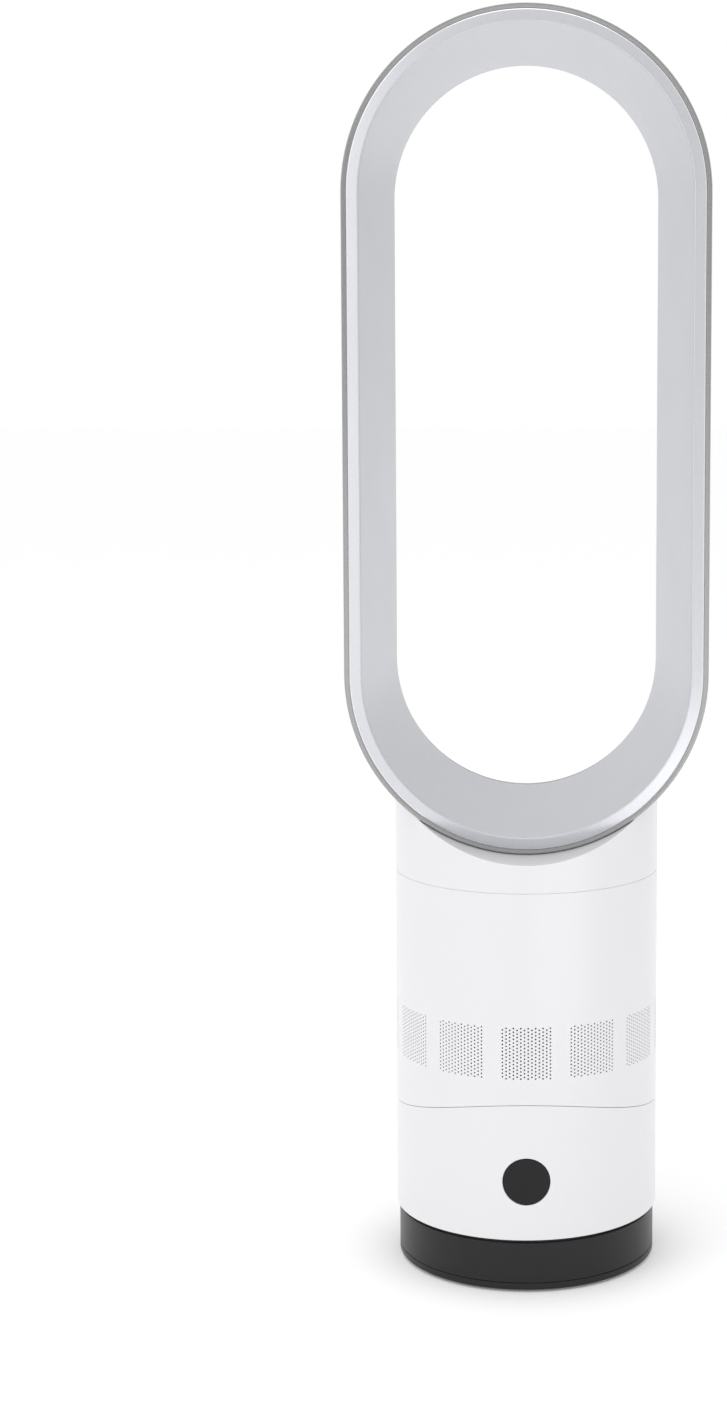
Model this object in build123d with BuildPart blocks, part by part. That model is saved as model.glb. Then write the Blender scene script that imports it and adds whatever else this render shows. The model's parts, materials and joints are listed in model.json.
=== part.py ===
from build123d import *
import os
from math import atan2, cos, degrees, pi, radians, sin, sqrt, tan

os.makedirs("parts", exist_ok=True)

# Bladeless tower fan: a racetrack air loop on a cylindrical body that tilts on a curved
# cradle, above a lower body that swings left and right on a round foot.
# Frame: origin at the centre of the ground contact, +Z up, the front faces -Y. Millimetres.

# ---------------------------------------------------------------- driving dimensions
TOTAL_HEIGHT = 690.0
BODY_RADIUS = 73.3
WALL = 2.5
SKIRT_CHAMFER = 0.4
SCREW_HEAD_RADIUS = 2.6
SCREW_RADIUS = 1.4
SCREW_HEAD_HEIGHT = 1.8
THIN_HEAD_HEIGHT = 1.3
HOLE_CLEARANCE = 0.1
HEAD_CLEARANCE = 0.2
CROSS_LENGTH = 2.6
CROSS_WIDTH = 0.6
CROSS_DEPTH = 1.0

# Foot
FOOT_RADIUS = 71.8
FOOT_TOP_Z = 29.3
FOOT_EDGE_Z = 1.2
FOOT_TOP_THICKNESS = 3.0
FOOT_PLATE_THICKNESS = 2.5
FOOT_EDGE_FILLET = 1.2
FOOT_TOP_FILLET = 0.5
FOOT_BOSS_RADIUS = 4.5
HEAD_SEAT_THICKNESS = 1.5
PAD_SEAT_DEPTH = 0.8
PAD_CHAMFER = 0.5
BALLAST_RADIUS = 54.0
BALLAST_THICKNESS = 12.0
PAD_RADIUS = 9.0
PAD_RING_RADIUS = 54.0
BASE_SCREW_RING = 62.0
INLET_Z = 15.0
INLET_WIDTH = 14.0
INLET_HEIGHT = 11.0
INLET_CORNER = 1.9
INLET_BORE_RADIUS = 2.8
INLET_DEPTH = 9.0
INLET_BACK = 4.0

# Swing bearing and drive
HUB_FLANGE_RADIUS = 30.0
HUB_FLANGE_THICKNESS = 3.0
HUB_RADIUS = 15.0
HUB_SEAT_RADIUS = 12.0
HUB_BORE_RADIUS = 9.0
HUB_SCREW_RING = 24.0
HUB_SHOULDER_Z = 38.0
HUB_TOP_Z = 46.5
SHAFT_CLEARANCE = 0.05
GEAR_MODULE = 1.25
GEAR_TEETH = 44
PINION_TEETH = 14
GEAR_WIDTH = 6.0
GEAR_BACKLASH = 0.3
PRESSURE_ANGLE = 20.0

PINION_SHAFT_RADIUS = 2.0
RETAINER_WIDTH = 4.0
GLIDE_OUTER_RADIUS = 52.0
GLIDE_INNER_RADIUS = 40.0
BUSH_WALL = 3.0
BUSH_FLANGE_WIDTH = 4.0
BUSH_FLANGE_THICKNESS = 1.5
BRACKET_LENGTH = 56.0
BRACKET_DEPTH = 34.0
BRACKET_THICKNESS = 2.0
BRACKET_POST_RADIUS = 3.5
BRACKET_POST_INSET = 4.0
MOTOR_RADIUS = 17.0
MOTOR_HEIGHT = 20.0
MOTOR_EAR_OFFSET = 21.0
MOTOR_EAR_WIDTH = 8.0
MOTOR_EAR_THICKNESS = 1.2

# Lower housing
HOUSING_BOTTOM_Z = 29.8
FLOOR_Z = 32.2
FLOOR_THICKNESS = 2.8
KEY_Z = 62.4
KEY_RADIUS = 12.75
KEY_HOLE_RADIUS = 13.05
KEY_STEM_RADIUS = 3.0
KEY_TRAVEL = 0.8
KEY_FLANGE_Y = 69.0
KEY_FLANGE_WIDTH = 1.2
KEY_FLANGE_THICKNESS = 1.2
GUIDE_FRONT_Y = 65.5
GUIDE_BACK_Y = 63.5
GUIDE_WIDTH = 42.0
GUIDE_HEIGHT = 34.0
GUIDE_LEG_WIDTH = 8.0
GUIDE_LEG_X = 15.0
BOARD_FRONT_Y = 58.0
BOARD_THICKNESS = 1.6
BOARD_HEIGHT = 32.0
BOARD_POST_X = 17.0
BOARD_POST_Z = 12.0
BOARD_POST_RADIUS = 2.2
CHIP_WIDTH = 9.0
CHIP_HEIGHT = 7.0
CHIP_THICKNESS = 2.0
SWITCH_SIZE = 6.0
SWITCH_DEPTH = 3.4
SWITCH_PIN_RADIUS = 1.7
RECEIVER_X = 9.0
RECEIVER_WIDTH = 5.6
RECEIVER_HEIGHT = 5.0
RECEIVER_DEPTH = 2.6
CRADLE_BOSS_RING = 64.5
CRADLE_POST_RADIUS = 4.0

# Tilt joint: everything that slides is an arc about this axis, which runs along X
TILT_AXIS_Z = 274.7
SEAM_RADIUS = 185.0
SEAM_HALF_GAP = 0.3
TILT_TRAVEL = 10.0
CRADLE_THICKNESS = 3.0
ROCKER_THICKNESS = 2.5
CLAMP_THICKNESS = 3.0
SLIDE_GAP = 0.3
BOLT_OFFSET = 30.0
BOLT_RADIUS = 4.0
CABLE_SLOT_RADIUS = 9.0
CLAMP_WIDTH = 24.0
CLAMP_END = 8.0
BOLT_HEAD_WIDTH = 2.5
BOLT_HEAD_HEIGHT = 3.0
WASHER_WIDTH = 3.0
WASHER_THICKNESS = 1.2
NUT_RADIUS = 7.2
NUT_HEIGHT = 3.2
BOLT_END = 0.3

# Main body
COLLAR_SEAM_Z = 220.7
ROCKER_BOSS_RING = 66.8
SHROUD_SCREW_RING = 67.4
NECK_SCREW_RING = 65.5
COLLAR_GAP = 0.3
PATCHES = 11
PATCH_PITCH = 29.4
PATCH_COLUMNS = 14
COLUMN_PITCH = 1.56
PATCH_Z = 133.3
PATCH_HEIGHT = 27.6
INTAKE_WIDTH = 1.3

# Fan unit inside the main body
LEDGE_Z = 149.5
LEDGE_INNER_RADIUS = 64.0
FLANGE_INNER_RADIUS = 61.0
SHROUD_WALL = 2.4
BEARING_RADIUS = 8.0
BEARING_WIDTH = 5.0
MOUNT_HEIGHT = 4.0
CASE_RADIUS = 28.0
CASE_TOP_Z = 204.0
STATOR_SLOTS = 9
CAP_HEIGHT = 12.0
DRIVER_BOARD_RADIUS = 37.0
INLET_RADIUS = 38.0
SHROUD_RADIUS = 56.0
SHROUD_TOP_Z = 214.0
WHEEL_BOTTOM_Z = 153.0
WHEEL_TOP_Z = 177.0
WHEEL_TIP_GAP = 1.0
BLADES = 9
VANES = 11
BUCKET_RADIUS = 43.0
BUCKET_FLOOR_Z = 179.5
BUCKET_TOP_Z = 212.0
SHAFT_RADIUS = 2.5
MOUNT_RING_RADIUS = 32.0
ROTOR_RADIUS = 12.5

# Air loop, measured outwards from its spine, a straight vertical segment
LOOP_RADIUS = 98.3
LOOP_LOW_Z = 334.4
LOOP_HIGH_Z = TOTAL_HEIGHT - LOOP_RADIUS
LOOP_HALF_DEPTH = 47.2
THROAT_RADIUS = 74.0
THROAT_Y = 38.5
LIP_RADIUS = 88.6
RIM_WIDTH = 2.7
SHELL_WALL = 2.0
SLOT_WIDTH = 1.2
DUCT_HALF_X = 32.0
DUCT_HALF_Y = 26.0

BIG = 120.0


def finish(builder, label):
    """Name a finished piece and write it."""
    builder.part.label = label
    export_step(builder.part, f"parts/{label}.step")


# ---------------------------------------------------------------- shared shapes
def disc_stack(*steps):
    """Private part: coaxial discs or rings, each (bottom z, top z, outer radius, inner radius)."""
    with BuildPart(mode=Mode.PRIVATE) as stack:
        for low, high, outer, inner in steps:
            with BuildSketch(Plane.XY.offset(low)):
                Circle(outer)
                if inner:
                    Circle(inner, mode=Mode.SUBTRACT)
            extrude(amount=high - low)
    return stack.part


def tilt_drum(radius, half_width=BIG):
    """Private part: a solid drum about the tilt axis."""
    with BuildPart(mode=Mode.PRIVATE) as drum:
        with BuildSketch(Plane.YZ.offset(-half_width)):
            with Locations((0, TILT_AXIS_Z)):
                Circle(radius)
        extrude(amount=2 * half_width)
    return drum.part


def curved_plate(outer, inner, plan_radius):
    """Private part: a plate curved about the tilt axis, round in plan, under the axis."""
    with BuildPart(mode=Mode.PRIVATE) as plate:
        add(disc_stack((TILT_AXIS_Z - outer - 1, TILT_AXIS_Z - 2 * plan_radius, plan_radius, 0)))
        add(tilt_drum(outer), mode=Mode.INTERSECT)
        add(tilt_drum(inner), mode=Mode.SUBTRACT)
    return plate.part


def racetrack(radius, half_depth=BIG):
    """Private part: the loop's outline at one distance from the spine, run along Y."""
    with BuildPart(mode=Mode.PRIVATE) as track:
        with BuildSketch(Plane.XZ.offset(-half_depth)):
            with Locations((0, (LOOP_LOW_Z + LOOP_HIGH_Z) / 2)):
                SlotCenterToCenter(LOOP_HIGH_Z - LOOP_LOW_Z, 2 * radius, rotation=90)
        extrude(amount=2 * half_depth)
    return track.part


def ring_about_spine(profile):
    """Private part: a wall section, x out from the spine and y as in the frame, run round the loop."""
    with BuildPart(mode=Mode.PRIVATE) as ring:
        with BuildSketch(Plane.XY.offset(LOOP_LOW_Z)):
            add(profile)
        extrude(amount=LOOP_HIGH_Z - LOOP_LOW_Z)
        mirror(about=Plane.YZ)
        with BuildSketch(Plane.XY.offset(LOOP_LOW_Z)):
            add(profile)
        revolve(axis=Axis((0, 0, LOOP_LOW_Z), (0, 1, 0)), revolution_arc=180)
        with BuildSketch(Plane.XY.offset(LOOP_HIGH_Z)):
            add(profile)
        revolve(axis=Axis((0, 0, LOOP_HIGH_Z), (0, -1, 0)), revolution_arc=180)
    return ring.part


def screw(length, head_height=SCREW_HEAD_HEIGHT):
    """Private part: a pan-head screw, head top at the origin, shank down."""
    with BuildPart(mode=Mode.PRIVATE) as one:
        Cylinder(SCREW_HEAD_RADIUS, head_height, align=(Align.CENTER, Align.CENTER, Align.MAX))
        with Locations((0, 0, -head_height)):
            Cylinder(SCREW_RADIUS, length, align=(Align.CENTER, Align.CENTER, Align.MAX))
        for turn in (0, 90):
            with Locations(Rotation(0, 0, turn)):
                Box(
                    CROSS_LENGTH,
                    CROSS_WIDTH,
                    CROSS_DEPTH,
                    align=(Align.CENTER, Align.CENTER, Align.MAX),
                    mode=Mode.SUBTRACT,
                )
    return one.part


def spur_gear(teeth, low_z, width, bore, phase=0.0):
    """Private part: an involute spur gear about Z, thinned at the teeth by the backlash."""
    pitch = GEAR_MODULE * teeth / 2
    base = pitch * cos(radians(PRESSURE_ANGLE))
    tip = pitch + GEAR_MODULE
    root = pitch - 1.25 * GEAR_MODULE
    involute = tan(radians(PRESSURE_ANGLE)) - radians(PRESSURE_ANGLE)
    half_tooth = pi / (2 * teeth) + involute - GEAR_BACKLASH / (2 * pitch)
    steps = 6
    start = max(base, root)
    flank = []
    for step in range(steps + 1):
        radius = start + (tip - start) * step / steps
        roll = sqrt(max((radius / base) ** 2 - 1, 0))
        angle = half_tooth - (roll - atan2(roll, 1))
        flank.append((radius * cos(angle), radius * sin(angle)))
    inner = (root - 0.3) * cos(half_tooth)
    with BuildPart(mode=Mode.PRIVATE) as gear:
        with BuildSketch(Plane.XY.offset(low_z)):
            Circle(root)
            with PolarLocations(0, teeth, start_angle=phase):
                with BuildSketch(mode=Mode.PRIVATE) as tooth:
                    with BuildLine():
                        low_flank = [(x, -y) for x, y in flank]
                        Polyline((inner, low_flank[0][1]), *low_flank)
                        Polyline(low_flank[-1], *reversed(flank))
                        Polyline(flank[0], (inner, flank[0][1]), (inner, low_flank[0][1]))
                    make_face()
                add(tooth.sketch)
            Circle(bore, mode=Mode.SUBTRACT)
        extrude(amount=width)
    return gear.part


# ================================================================ FOOT (stands still)
foot_ceiling_z = FOOT_TOP_Z - FOOT_TOP_THICKNESS
foot_pilot_depth = FOOT_TOP_THICKNESS - 1
base_plate_radius = FOOT_RADIUS - WALL - HEAD_CLEARANCE
plate_top_z = FOOT_EDGE_Z + FOOT_PLATE_THICKNESS

with BuildPart() as foot_shell:
    with BuildSketch(Plane.XY.offset(FOOT_EDGE_Z)):
        Circle(FOOT_RADIUS)
    extrude(amount=FOOT_TOP_Z - FOOT_EDGE_Z)
    fillet(foot_shell.faces().sort_by(Axis.Z)[0].edges(), radius=FOOT_EDGE_FILLET)
    fillet(foot_shell.faces().sort_by(Axis.Z)[-1].edges(), radius=FOOT_TOP_FILLET)
    with BuildSketch(Plane.XY.offset(FOOT_EDGE_Z)):
        Circle(FOOT_RADIUS - WALL)
    extrude(amount=foot_ceiling_z - FOOT_EDGE_Z, mode=Mode.SUBTRACT)
    # Screw bosses hang from the ceiling down to the base plate
    with BuildSketch(Plane.XY.offset(plate_top_z)):
        with PolarLocations(BASE_SCREW_RING, 4, start_angle=45):
            Circle(FOOT_BOSS_RADIUS)
            Circle(SCREW_RADIUS, mode=Mode.SUBTRACT)
    extrude(amount=foot_ceiling_z - plate_top_z)
    with BuildSketch(Plane.XY.offset(foot_ceiling_z)):
        Circle(HUB_RADIUS + SHAFT_CLEARANCE)
    extrude(amount=FOOT_TOP_THICKNESS, mode=Mode.SUBTRACT)
    with BuildSketch(Plane.XY.offset(foot_ceiling_z)):
        with PolarLocations(HUB_SCREW_RING, 3, start_angle=30):
            Circle(SCREW_RADIUS)
    extrude(amount=foot_pilot_depth, mode=Mode.SUBTRACT)
    # Pocket for the supply socket at the back
    with BuildSketch(Plane.XZ.offset(-FOOT_RADIUS - 1)):
        with Locations((0, INLET_Z)):
            RectangleRounded(
                INLET_WIDTH + 2 * HOLE_CLEARANCE,
                INLET_HEIGHT + 2 * HOLE_CLEARANCE,
                INLET_CORNER + HOLE_CLEARANCE,
            )
    extrude(amount=3 * WALL, mode=Mode.SUBTRACT)
finish(foot_shell, "foot_shell")

with BuildPart() as foot_base_plate:
    with BuildSketch(Plane.XY.offset(FOOT_EDGE_Z)):
        Circle(base_plate_radius)
        with PolarLocations(BASE_SCREW_RING, 4, start_angle=45):
            Circle(SCREW_HEAD_RADIUS + HEAD_CLEARANCE, mode=Mode.SUBTRACT)
    extrude(amount=HEAD_SEAT_THICKNESS)
    with BuildSketch(Plane.XY.offset(FOOT_EDGE_Z + HEAD_SEAT_THICKNESS)):
        Circle(base_plate_radius)
        with PolarLocations(BASE_SCREW_RING, 4, start_angle=45):
            Circle(SCREW_RADIUS + HOLE_CLEARANCE, mode=Mode.SUBTRACT)
    extrude(amount=FOOT_PLATE_THICKNESS - HEAD_SEAT_THICKNESS)
    # Shallow seats for the pads
    with BuildSketch(Plane.XY.offset(FOOT_EDGE_Z)):
        with PolarLocations(PAD_RING_RADIUS, 4):
            Circle(PAD_RADIUS)
    extrude(amount=PAD_SEAT_DEPTH, mode=Mode.SUBTRACT)
finish(foot_base_plate, "foot_base_plate")

with BuildPart() as rubber_feet:
    with BuildSketch():
        with PolarLocations(PAD_RING_RADIUS, 4):
            Circle(PAD_RADIUS - HOLE_CLEARANCE)
    extrude(amount=FOOT_EDGE_Z + PAD_SEAT_DEPTH)
    chamfer(rubber_feet.faces().group_by(Axis.Z)[0].edges(), length=PAD_CHAMFER)
finish(rubber_feet, "rubber_feet")

base_head_z = FOOT_EDGE_Z + HEAD_SEAT_THICKNESS - THIN_HEAD_HEIGHT - HOLE_CLEARANCE
base_screw_length = 4 * WALL
with BuildPart() as base_screws:
    with PolarLocations(BASE_SCREW_RING, 4, start_angle=45):
        with Locations(Location((0, 0, base_head_z), (180, 0, 0))):
            add(screw(base_screw_length, head_height=THIN_HEAD_HEIGHT))
finish(base_screws, "base_screws")

with BuildPart() as ballast_plate:
    with BuildSketch(Plane.XY.offset(plate_top_z)):
        Circle(BALLAST_RADIUS)
        Circle(HUB_BORE_RADIUS + 2, mode=Mode.SUBTRACT)
    extrude(amount=BALLAST_THICKNESS)
finish(ballast_plate, "ballast_plate")

# The hub is screwed up under the foot's ceiling and carries the fixed gear
flange_bottom_z = foot_ceiling_z - HUB_FLANGE_THICKNESS
with BuildPart() as pivot_hub:
    add(
        disc_stack(
            (flange_bottom_z, foot_ceiling_z, HUB_FLANGE_RADIUS, 0),
            (foot_ceiling_z, HUB_SHOULDER_Z, HUB_RADIUS, 0),
            (HUB_SHOULDER_Z, HUB_TOP_Z, HUB_SEAT_RADIUS, 0),
        )
    )
    with BuildSketch(Plane.XY.offset(flange_bottom_z)):
        Circle(HUB_BORE_RADIUS)
    extrude(amount=HUB_TOP_Z - flange_bottom_z, mode=Mode.SUBTRACT)
    with BuildSketch(Plane.XY.offset(flange_bottom_z)):
        with PolarLocations(HUB_SCREW_RING, 3, start_angle=30):
            Circle(SCREW_RADIUS + HOLE_CLEARANCE)
    extrude(amount=HUB_FLANGE_THICKNESS, mode=Mode.SUBTRACT)
finish(pivot_hub, "pivot_hub")

with BuildPart() as hub_screws:
    with PolarLocations(HUB_SCREW_RING, 3, start_angle=30):
        with Locations(Location((0, 0, flange_bottom_z - SCREW_HEAD_HEIGHT), (180, 0, 0))):
            add(screw(HUB_FLANGE_THICKNESS + foot_pilot_depth - HEAD_CLEARANCE))
finish(hub_screws, "hub_screws")

with BuildPart() as fixed_gear:
    add(spur_gear(GEAR_TEETH, HUB_SHOULDER_Z, GEAR_WIDTH, HUB_SEAT_RADIUS))
finish(fixed_gear, "fixed_gear")

with BuildPart() as gear_retainer:
    add(
        disc_stack(
            (HUB_SHOULDER_Z + GEAR_WIDTH, HUB_TOP_Z, HUB_SEAT_RADIUS + RETAINER_WIDTH, HUB_SEAT_RADIUS),
        )
    )
finish(gear_retainer, "gear_retainer")

with BuildPart() as glide_ring:
    add(disc_stack((FOOT_TOP_Z, FLOOR_Z - HEAD_CLEARANCE, GLIDE_OUTER_RADIUS, GLIDE_INNER_RADIUS)))
finish(glide_ring, "glide_ring")

# Low-voltage supply socket in the back of the foot
inlet_face_y = FOOT_RADIUS - 0.3
with BuildPart() as power_inlet:
    with BuildSketch(Plane.XZ.offset(-inlet_face_y)):
        with Locations((0, INLET_Z)):
            RectangleRounded(INLET_WIDTH, INLET_HEIGHT, INLET_CORNER)
            Circle(INLET_BORE_RADIUS, mode=Mode.SUBTRACT)
    extrude(amount=INLET_DEPTH)
    with BuildSketch(Plane.XZ.offset(-inlet_face_y + INLET_DEPTH)):
        with Locations((0, INLET_Z)):
            RectangleRounded(INLET_WIDTH, INLET_HEIGHT, INLET_CORNER)
    extrude(amount=INLET_BACK)
finish(power_inlet, "power_inlet")

# ================================================================ LOWER BODY (swings)
floor_top_z = FLOOR_Z + FLOOR_THICKNESS
bush_radius = HUB_RADIUS + BUSH_WALL
cradle_top = SEAM_RADIUS + SEAM_HALF_GAP
cradle_under = cradle_top + CRADLE_THICKNESS
cradle_boss_y = CRADLE_BOSS_RING * sin(radians(45))


def under_axis(radius, y=0.0):
    """Height of the tilt drum of one radius, below the axis, at a distance y from it."""
    return TILT_AXIS_Z - sqrt(radius**2 - y**2)


with BuildPart() as lower_housing:
    with BuildSketch(Plane.XY.offset(HOUSING_BOTTOM_Z)):
        Circle(BODY_RADIUS)
        Circle(BODY_RADIUS - WALL, mode=Mode.SUBTRACT)
    extrude(amount=BIG)
    chamfer(lower_housing.faces().sort_by(Axis.Z)[0].outer_wire().edges(), length=SKIRT_CHAMFER)
    add(tilt_drum(cradle_top), mode=Mode.SUBTRACT)
    with BuildSketch(Plane.XY.offset(FLOOR_Z)):
        Circle(BODY_RADIUS - WALL)
        Circle(bush_radius, mode=Mode.SUBTRACT)
    extrude(amount=FLOOR_THICKNESS)
    # Posts that carry the cradle, cut to its curved underside
    with BuildPart(mode=Mode.PRIVATE) as posts:
        with BuildSketch(Plane.XY.offset(floor_top_z)):
            with PolarLocations(CRADLE_BOSS_RING, 4, start_angle=45):
                Circle(CRADLE_POST_RADIUS)
                Circle(SCREW_RADIUS, mode=Mode.SUBTRACT)
        extrude(amount=BIG)
        add(tilt_drum(cradle_under), mode=Mode.SUBTRACT)
    add(posts.part)
    with BuildSketch(Plane.XZ.offset(GUIDE_FRONT_Y)):
        with Locations((0, KEY_Z)):
            Circle(KEY_HOLE_RADIUS)
    extrude(amount=BODY_RADIUS, mode=Mode.SUBTRACT)
finish(lower_housing, "lower_housing")

with BuildPart() as turntable_bush:
    bore = HUB_RADIUS + SHAFT_CLEARANCE
    add(
        disc_stack(
            (FLOOR_Z, floor_top_z, bush_radius, bore),
            (floor_top_z, floor_top_z + BUSH_FLANGE_THICKNESS, bush_radius + BUSH_FLANGE_WIDTH, bore),
        )
    )
finish(turntable_bush, "turntable_bush")

# Swing drive: a gearmotor hangs its pinion beside the fixed gear
centre_distance = GEAR_MODULE * (GEAR_TEETH + PINION_TEETH) / 2
drive_spot = (0, centre_distance)
motor_plate_z = HUB_TOP_Z + 1.5
motor_seat_z = motor_plate_z + BRACKET_THICKNESS

with BuildPart() as motor_bracket:
    with BuildSketch(Plane.XY.offset(motor_plate_z)):
        with Locations(drive_spot):
            RectangleRounded(BRACKET_LENGTH, BRACKET_DEPTH, BRACKET_POST_INSET)
            Circle(PINION_SHAFT_RADIUS + 1.0, mode=Mode.SUBTRACT)
            with GridLocations(2 * MOTOR_EAR_OFFSET, 0, 2, 1):
                Circle(SCREW_RADIUS, mode=Mode.SUBTRACT)
    extrude(amount=BRACKET_THICKNESS)
    with BuildSketch(Plane.XY.offset(floor_top_z)):
        with Locations(drive_spot):
            with GridLocations(
                BRACKET_LENGTH - 2 * BRACKET_POST_INSET, BRACKET_DEPTH - 2 * BRACKET_POST_INSET, 2, 2
            ):
                Circle(BRACKET_POST_RADIUS)
    extrude(amount=motor_plate_z - floor_top_z)
finish(motor_bracket, "motor_bracket")

shaft_grip = 13.0
with BuildPart() as swing_motor:
    with BuildSketch(Plane.XY.offset(motor_seat_z)):
        with Locations(drive_spot):
            Circle(MOTOR_RADIUS)
    extrude(amount=MOTOR_HEIGHT)
    chamfer(swing_motor.faces().sort_by(Axis.Z)[-1].edges(), length=1.0)
    with BuildSketch(Plane.XY.offset(motor_seat_z)):
        with Locations(drive_spot):
            RectangleRounded(2 * MOTOR_EAR_OFFSET + MOTOR_EAR_WIDTH, MOTOR_EAR_WIDTH, 3)
            with GridLocations(2 * MOTOR_EAR_OFFSET, 0, 2, 1):
                Circle(SCREW_RADIUS + HOLE_CLEARANCE, mode=Mode.SUBTRACT)
    extrude(amount=MOTOR_EAR_THICKNESS)
    with BuildSketch(Plane.XY.offset(motor_seat_z)):
        with Locations(drive_spot):
            Circle(PINION_SHAFT_RADIUS + SHAFT_CLEARANCE)
    extrude(amount=shaft_grip + 1, mode=Mode.SUBTRACT)
finish(swing_motor, "swing_motor")

with BuildPart() as swing_motor_screws:
    for side in (-1, 1):
        head_z = motor_seat_z + MOTOR_EAR_THICKNESS + SCREW_HEAD_HEIGHT
        with Locations((side * MOTOR_EAR_OFFSET, centre_distance, head_z)):
            add(screw(4.5))
finish(swing_motor_screws, "swing_motor_screws")

pinion_top_z = HUB_SHOULDER_Z + GEAR_WIDTH
with BuildPart() as drive_pinion:
    with Locations(drive_spot):
        add(spur_gear(PINION_TEETH, HUB_SHOULDER_Z, GEAR_WIDTH, PINION_SHAFT_RADIUS))
        add(disc_stack((pinion_top_z, pinion_top_z + 2, 4.5, PINION_SHAFT_RADIUS)))
finish(drive_pinion, "drive_pinion")

with BuildPart() as pinion_shaft:
    with BuildSketch(Plane.XY.offset(HUB_SHOULDER_Z - 0.5)):
        with Locations(drive_spot):
            Circle(PINION_SHAFT_RADIUS)
    extrude(amount=motor_seat_z + shaft_grip - HUB_SHOULDER_Z)
finish(pinion_shaft, "pinion_shaft")

# Power key in the front, with its guide, switch and board behind it
key_stem_end_y = GUIDE_BACK_Y - 0.2
switch_tip_y = key_stem_end_y - KEY_TRAVEL - 0.1

with BuildPart() as power_key:
    with BuildSketch(Plane.XZ.offset(KEY_FLANGE_Y)):
        with Locations((0, KEY_Z)):
            Circle(KEY_RADIUS)
    extrude(amount=10)
    add(disc_stack((0, 2 * KEY_Z, BODY_RADIUS, 0)), mode=Mode.INTERSECT)
    with BuildSketch(Plane.XZ.offset(KEY_FLANGE_Y - KEY_FLANGE_THICKNESS)):
        with Locations((0, KEY_Z)):
            Circle(KEY_RADIUS + KEY_FLANGE_WIDTH)
    extrude(amount=KEY_FLANGE_THICKNESS)
    with BuildSketch(Plane.XZ.offset(key_stem_end_y)):
        with Locations((0, KEY_Z)):
            Circle(KEY_STEM_RADIUS)
    extrude(amount=KEY_FLANGE_Y - KEY_FLANGE_THICKNESS - key_stem_end_y)
finish(power_key, "power_key")

guide_leg_z = KEY_Z - GUIDE_HEIGHT / 2 - 5
with BuildPart() as key_guide:
    with BuildSketch(Plane.XZ.offset(GUIDE_BACK_Y)):
        with Locations((0, KEY_Z)):
            RectangleRounded(GUIDE_WIDTH, GUIDE_HEIGHT, 2)
            Circle(KEY_STEM_RADIUS + 0.08, mode=Mode.SUBTRACT)
        with Locations((-GUIDE_LEG_X, guide_leg_z), (GUIDE_LEG_X, guide_leg_z)):
            Rectangle(GUIDE_LEG_WIDTH, 2 * (guide_leg_z - floor_top_z))
    extrude(amount=GUIDE_FRONT_Y - GUIDE_BACK_Y)
    with BuildSketch(Plane.XZ.offset(BOARD_FRONT_Y)):
        with Locations((0, KEY_Z)):
            with GridLocations(2 * BOARD_POST_X, 2 * BOARD_POST_Z, 2, 2):
                Circle(BOARD_POST_RADIUS)
    extrude(amount=GUIDE_BACK_Y - BOARD_FRONT_Y)
finish(key_guide, "key_guide")

with BuildPart() as control_board:
    with BuildSketch(Plane.XZ.offset(BOARD_FRONT_Y - BOARD_THICKNESS)):
        with Locations((0, KEY_Z)):
            Rectangle(GUIDE_WIDTH, BOARD_HEIGHT)
    extrude(amount=BOARD_THICKNESS)
    with BuildSketch(Plane.XZ.offset(BOARD_FRONT_Y - BOARD_THICKNESS)):
        with Locations((-12, KEY_Z + 6), (10, KEY_Z - 8)):
            Rectangle(CHIP_WIDTH, CHIP_HEIGHT)
    extrude(amount=-CHIP_THICKNESS)
finish(control_board, "control_board")

with BuildPart() as key_switch:
    with BuildSketch(Plane.XZ.offset(BOARD_FRONT_Y)):
        with Locations((0, KEY_Z)):
            Rectangle(SWITCH_SIZE, SWITCH_SIZE)
    extrude(amount=SWITCH_DEPTH)
    with BuildSketch(Plane.XZ.offset(BOARD_FRONT_Y + SWITCH_DEPTH)):
        with Locations((0, KEY_Z)):
            Circle(SWITCH_PIN_RADIUS)
    extrude(amount=switch_tip_y - BOARD_FRONT_Y - SWITCH_DEPTH)
finish(key_switch, "key_switch")

with BuildPart() as remote_receiver:
    with BuildSketch(Plane.XZ.offset(BOARD_FRONT_Y)):
        with Locations((RECEIVER_X, KEY_Z)):
            Rectangle(RECEIVER_WIDTH, RECEIVER_HEIGHT)
    extrude(amount=RECEIVER_DEPTH)
    fillet(remote_receiver.faces().sort_by(Axis.Y)[0].edges(), radius=0.6)
finish(remote_receiver, "remote_receiver")

# Tilt cradle: the main body slides fore and aft on its curved top
cradle_head_z = under_axis(cradle_top, cradle_boss_y - SCREW_HEAD_RADIUS) - 0.2
with BuildPart() as tilt_cradle:
    add(curved_plate(cradle_under, cradle_top, BODY_RADIUS - WALL - 0.1))
    with BuildSketch(Plane.XY.offset(FLOOR_Z)):
        Circle(CABLE_SLOT_RADIUS)
        with GridLocations(2 * BOLT_OFFSET, 0, 2, 1):
            Circle(BOLT_RADIUS)
        with PolarLocations(CRADLE_BOSS_RING, 4, start_angle=45):
            Circle(SCREW_RADIUS + HOLE_CLEARANCE)
    extrude(amount=BIG, mode=Mode.SUBTRACT)
    with BuildSketch(Plane.XY.offset(cradle_head_z - THIN_HEAD_HEIGHT)):
        with PolarLocations(CRADLE_BOSS_RING, 4, start_angle=45):
            Circle(SCREW_HEAD_RADIUS + HEAD_CLEARANCE)
    extrude(amount=BIG, mode=Mode.SUBTRACT)
finish(tilt_cradle, "tilt_cradle")

with BuildPart() as cradle_screws:
    with PolarLocations(CRADLE_BOSS_RING, 4, start_angle=45):
        with Locations((0, 0, cradle_head_z)):
            add(screw(9.0, head_height=THIN_HEAD_HEIGHT))
finish(cradle_screws, "cradle_screws")

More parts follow.
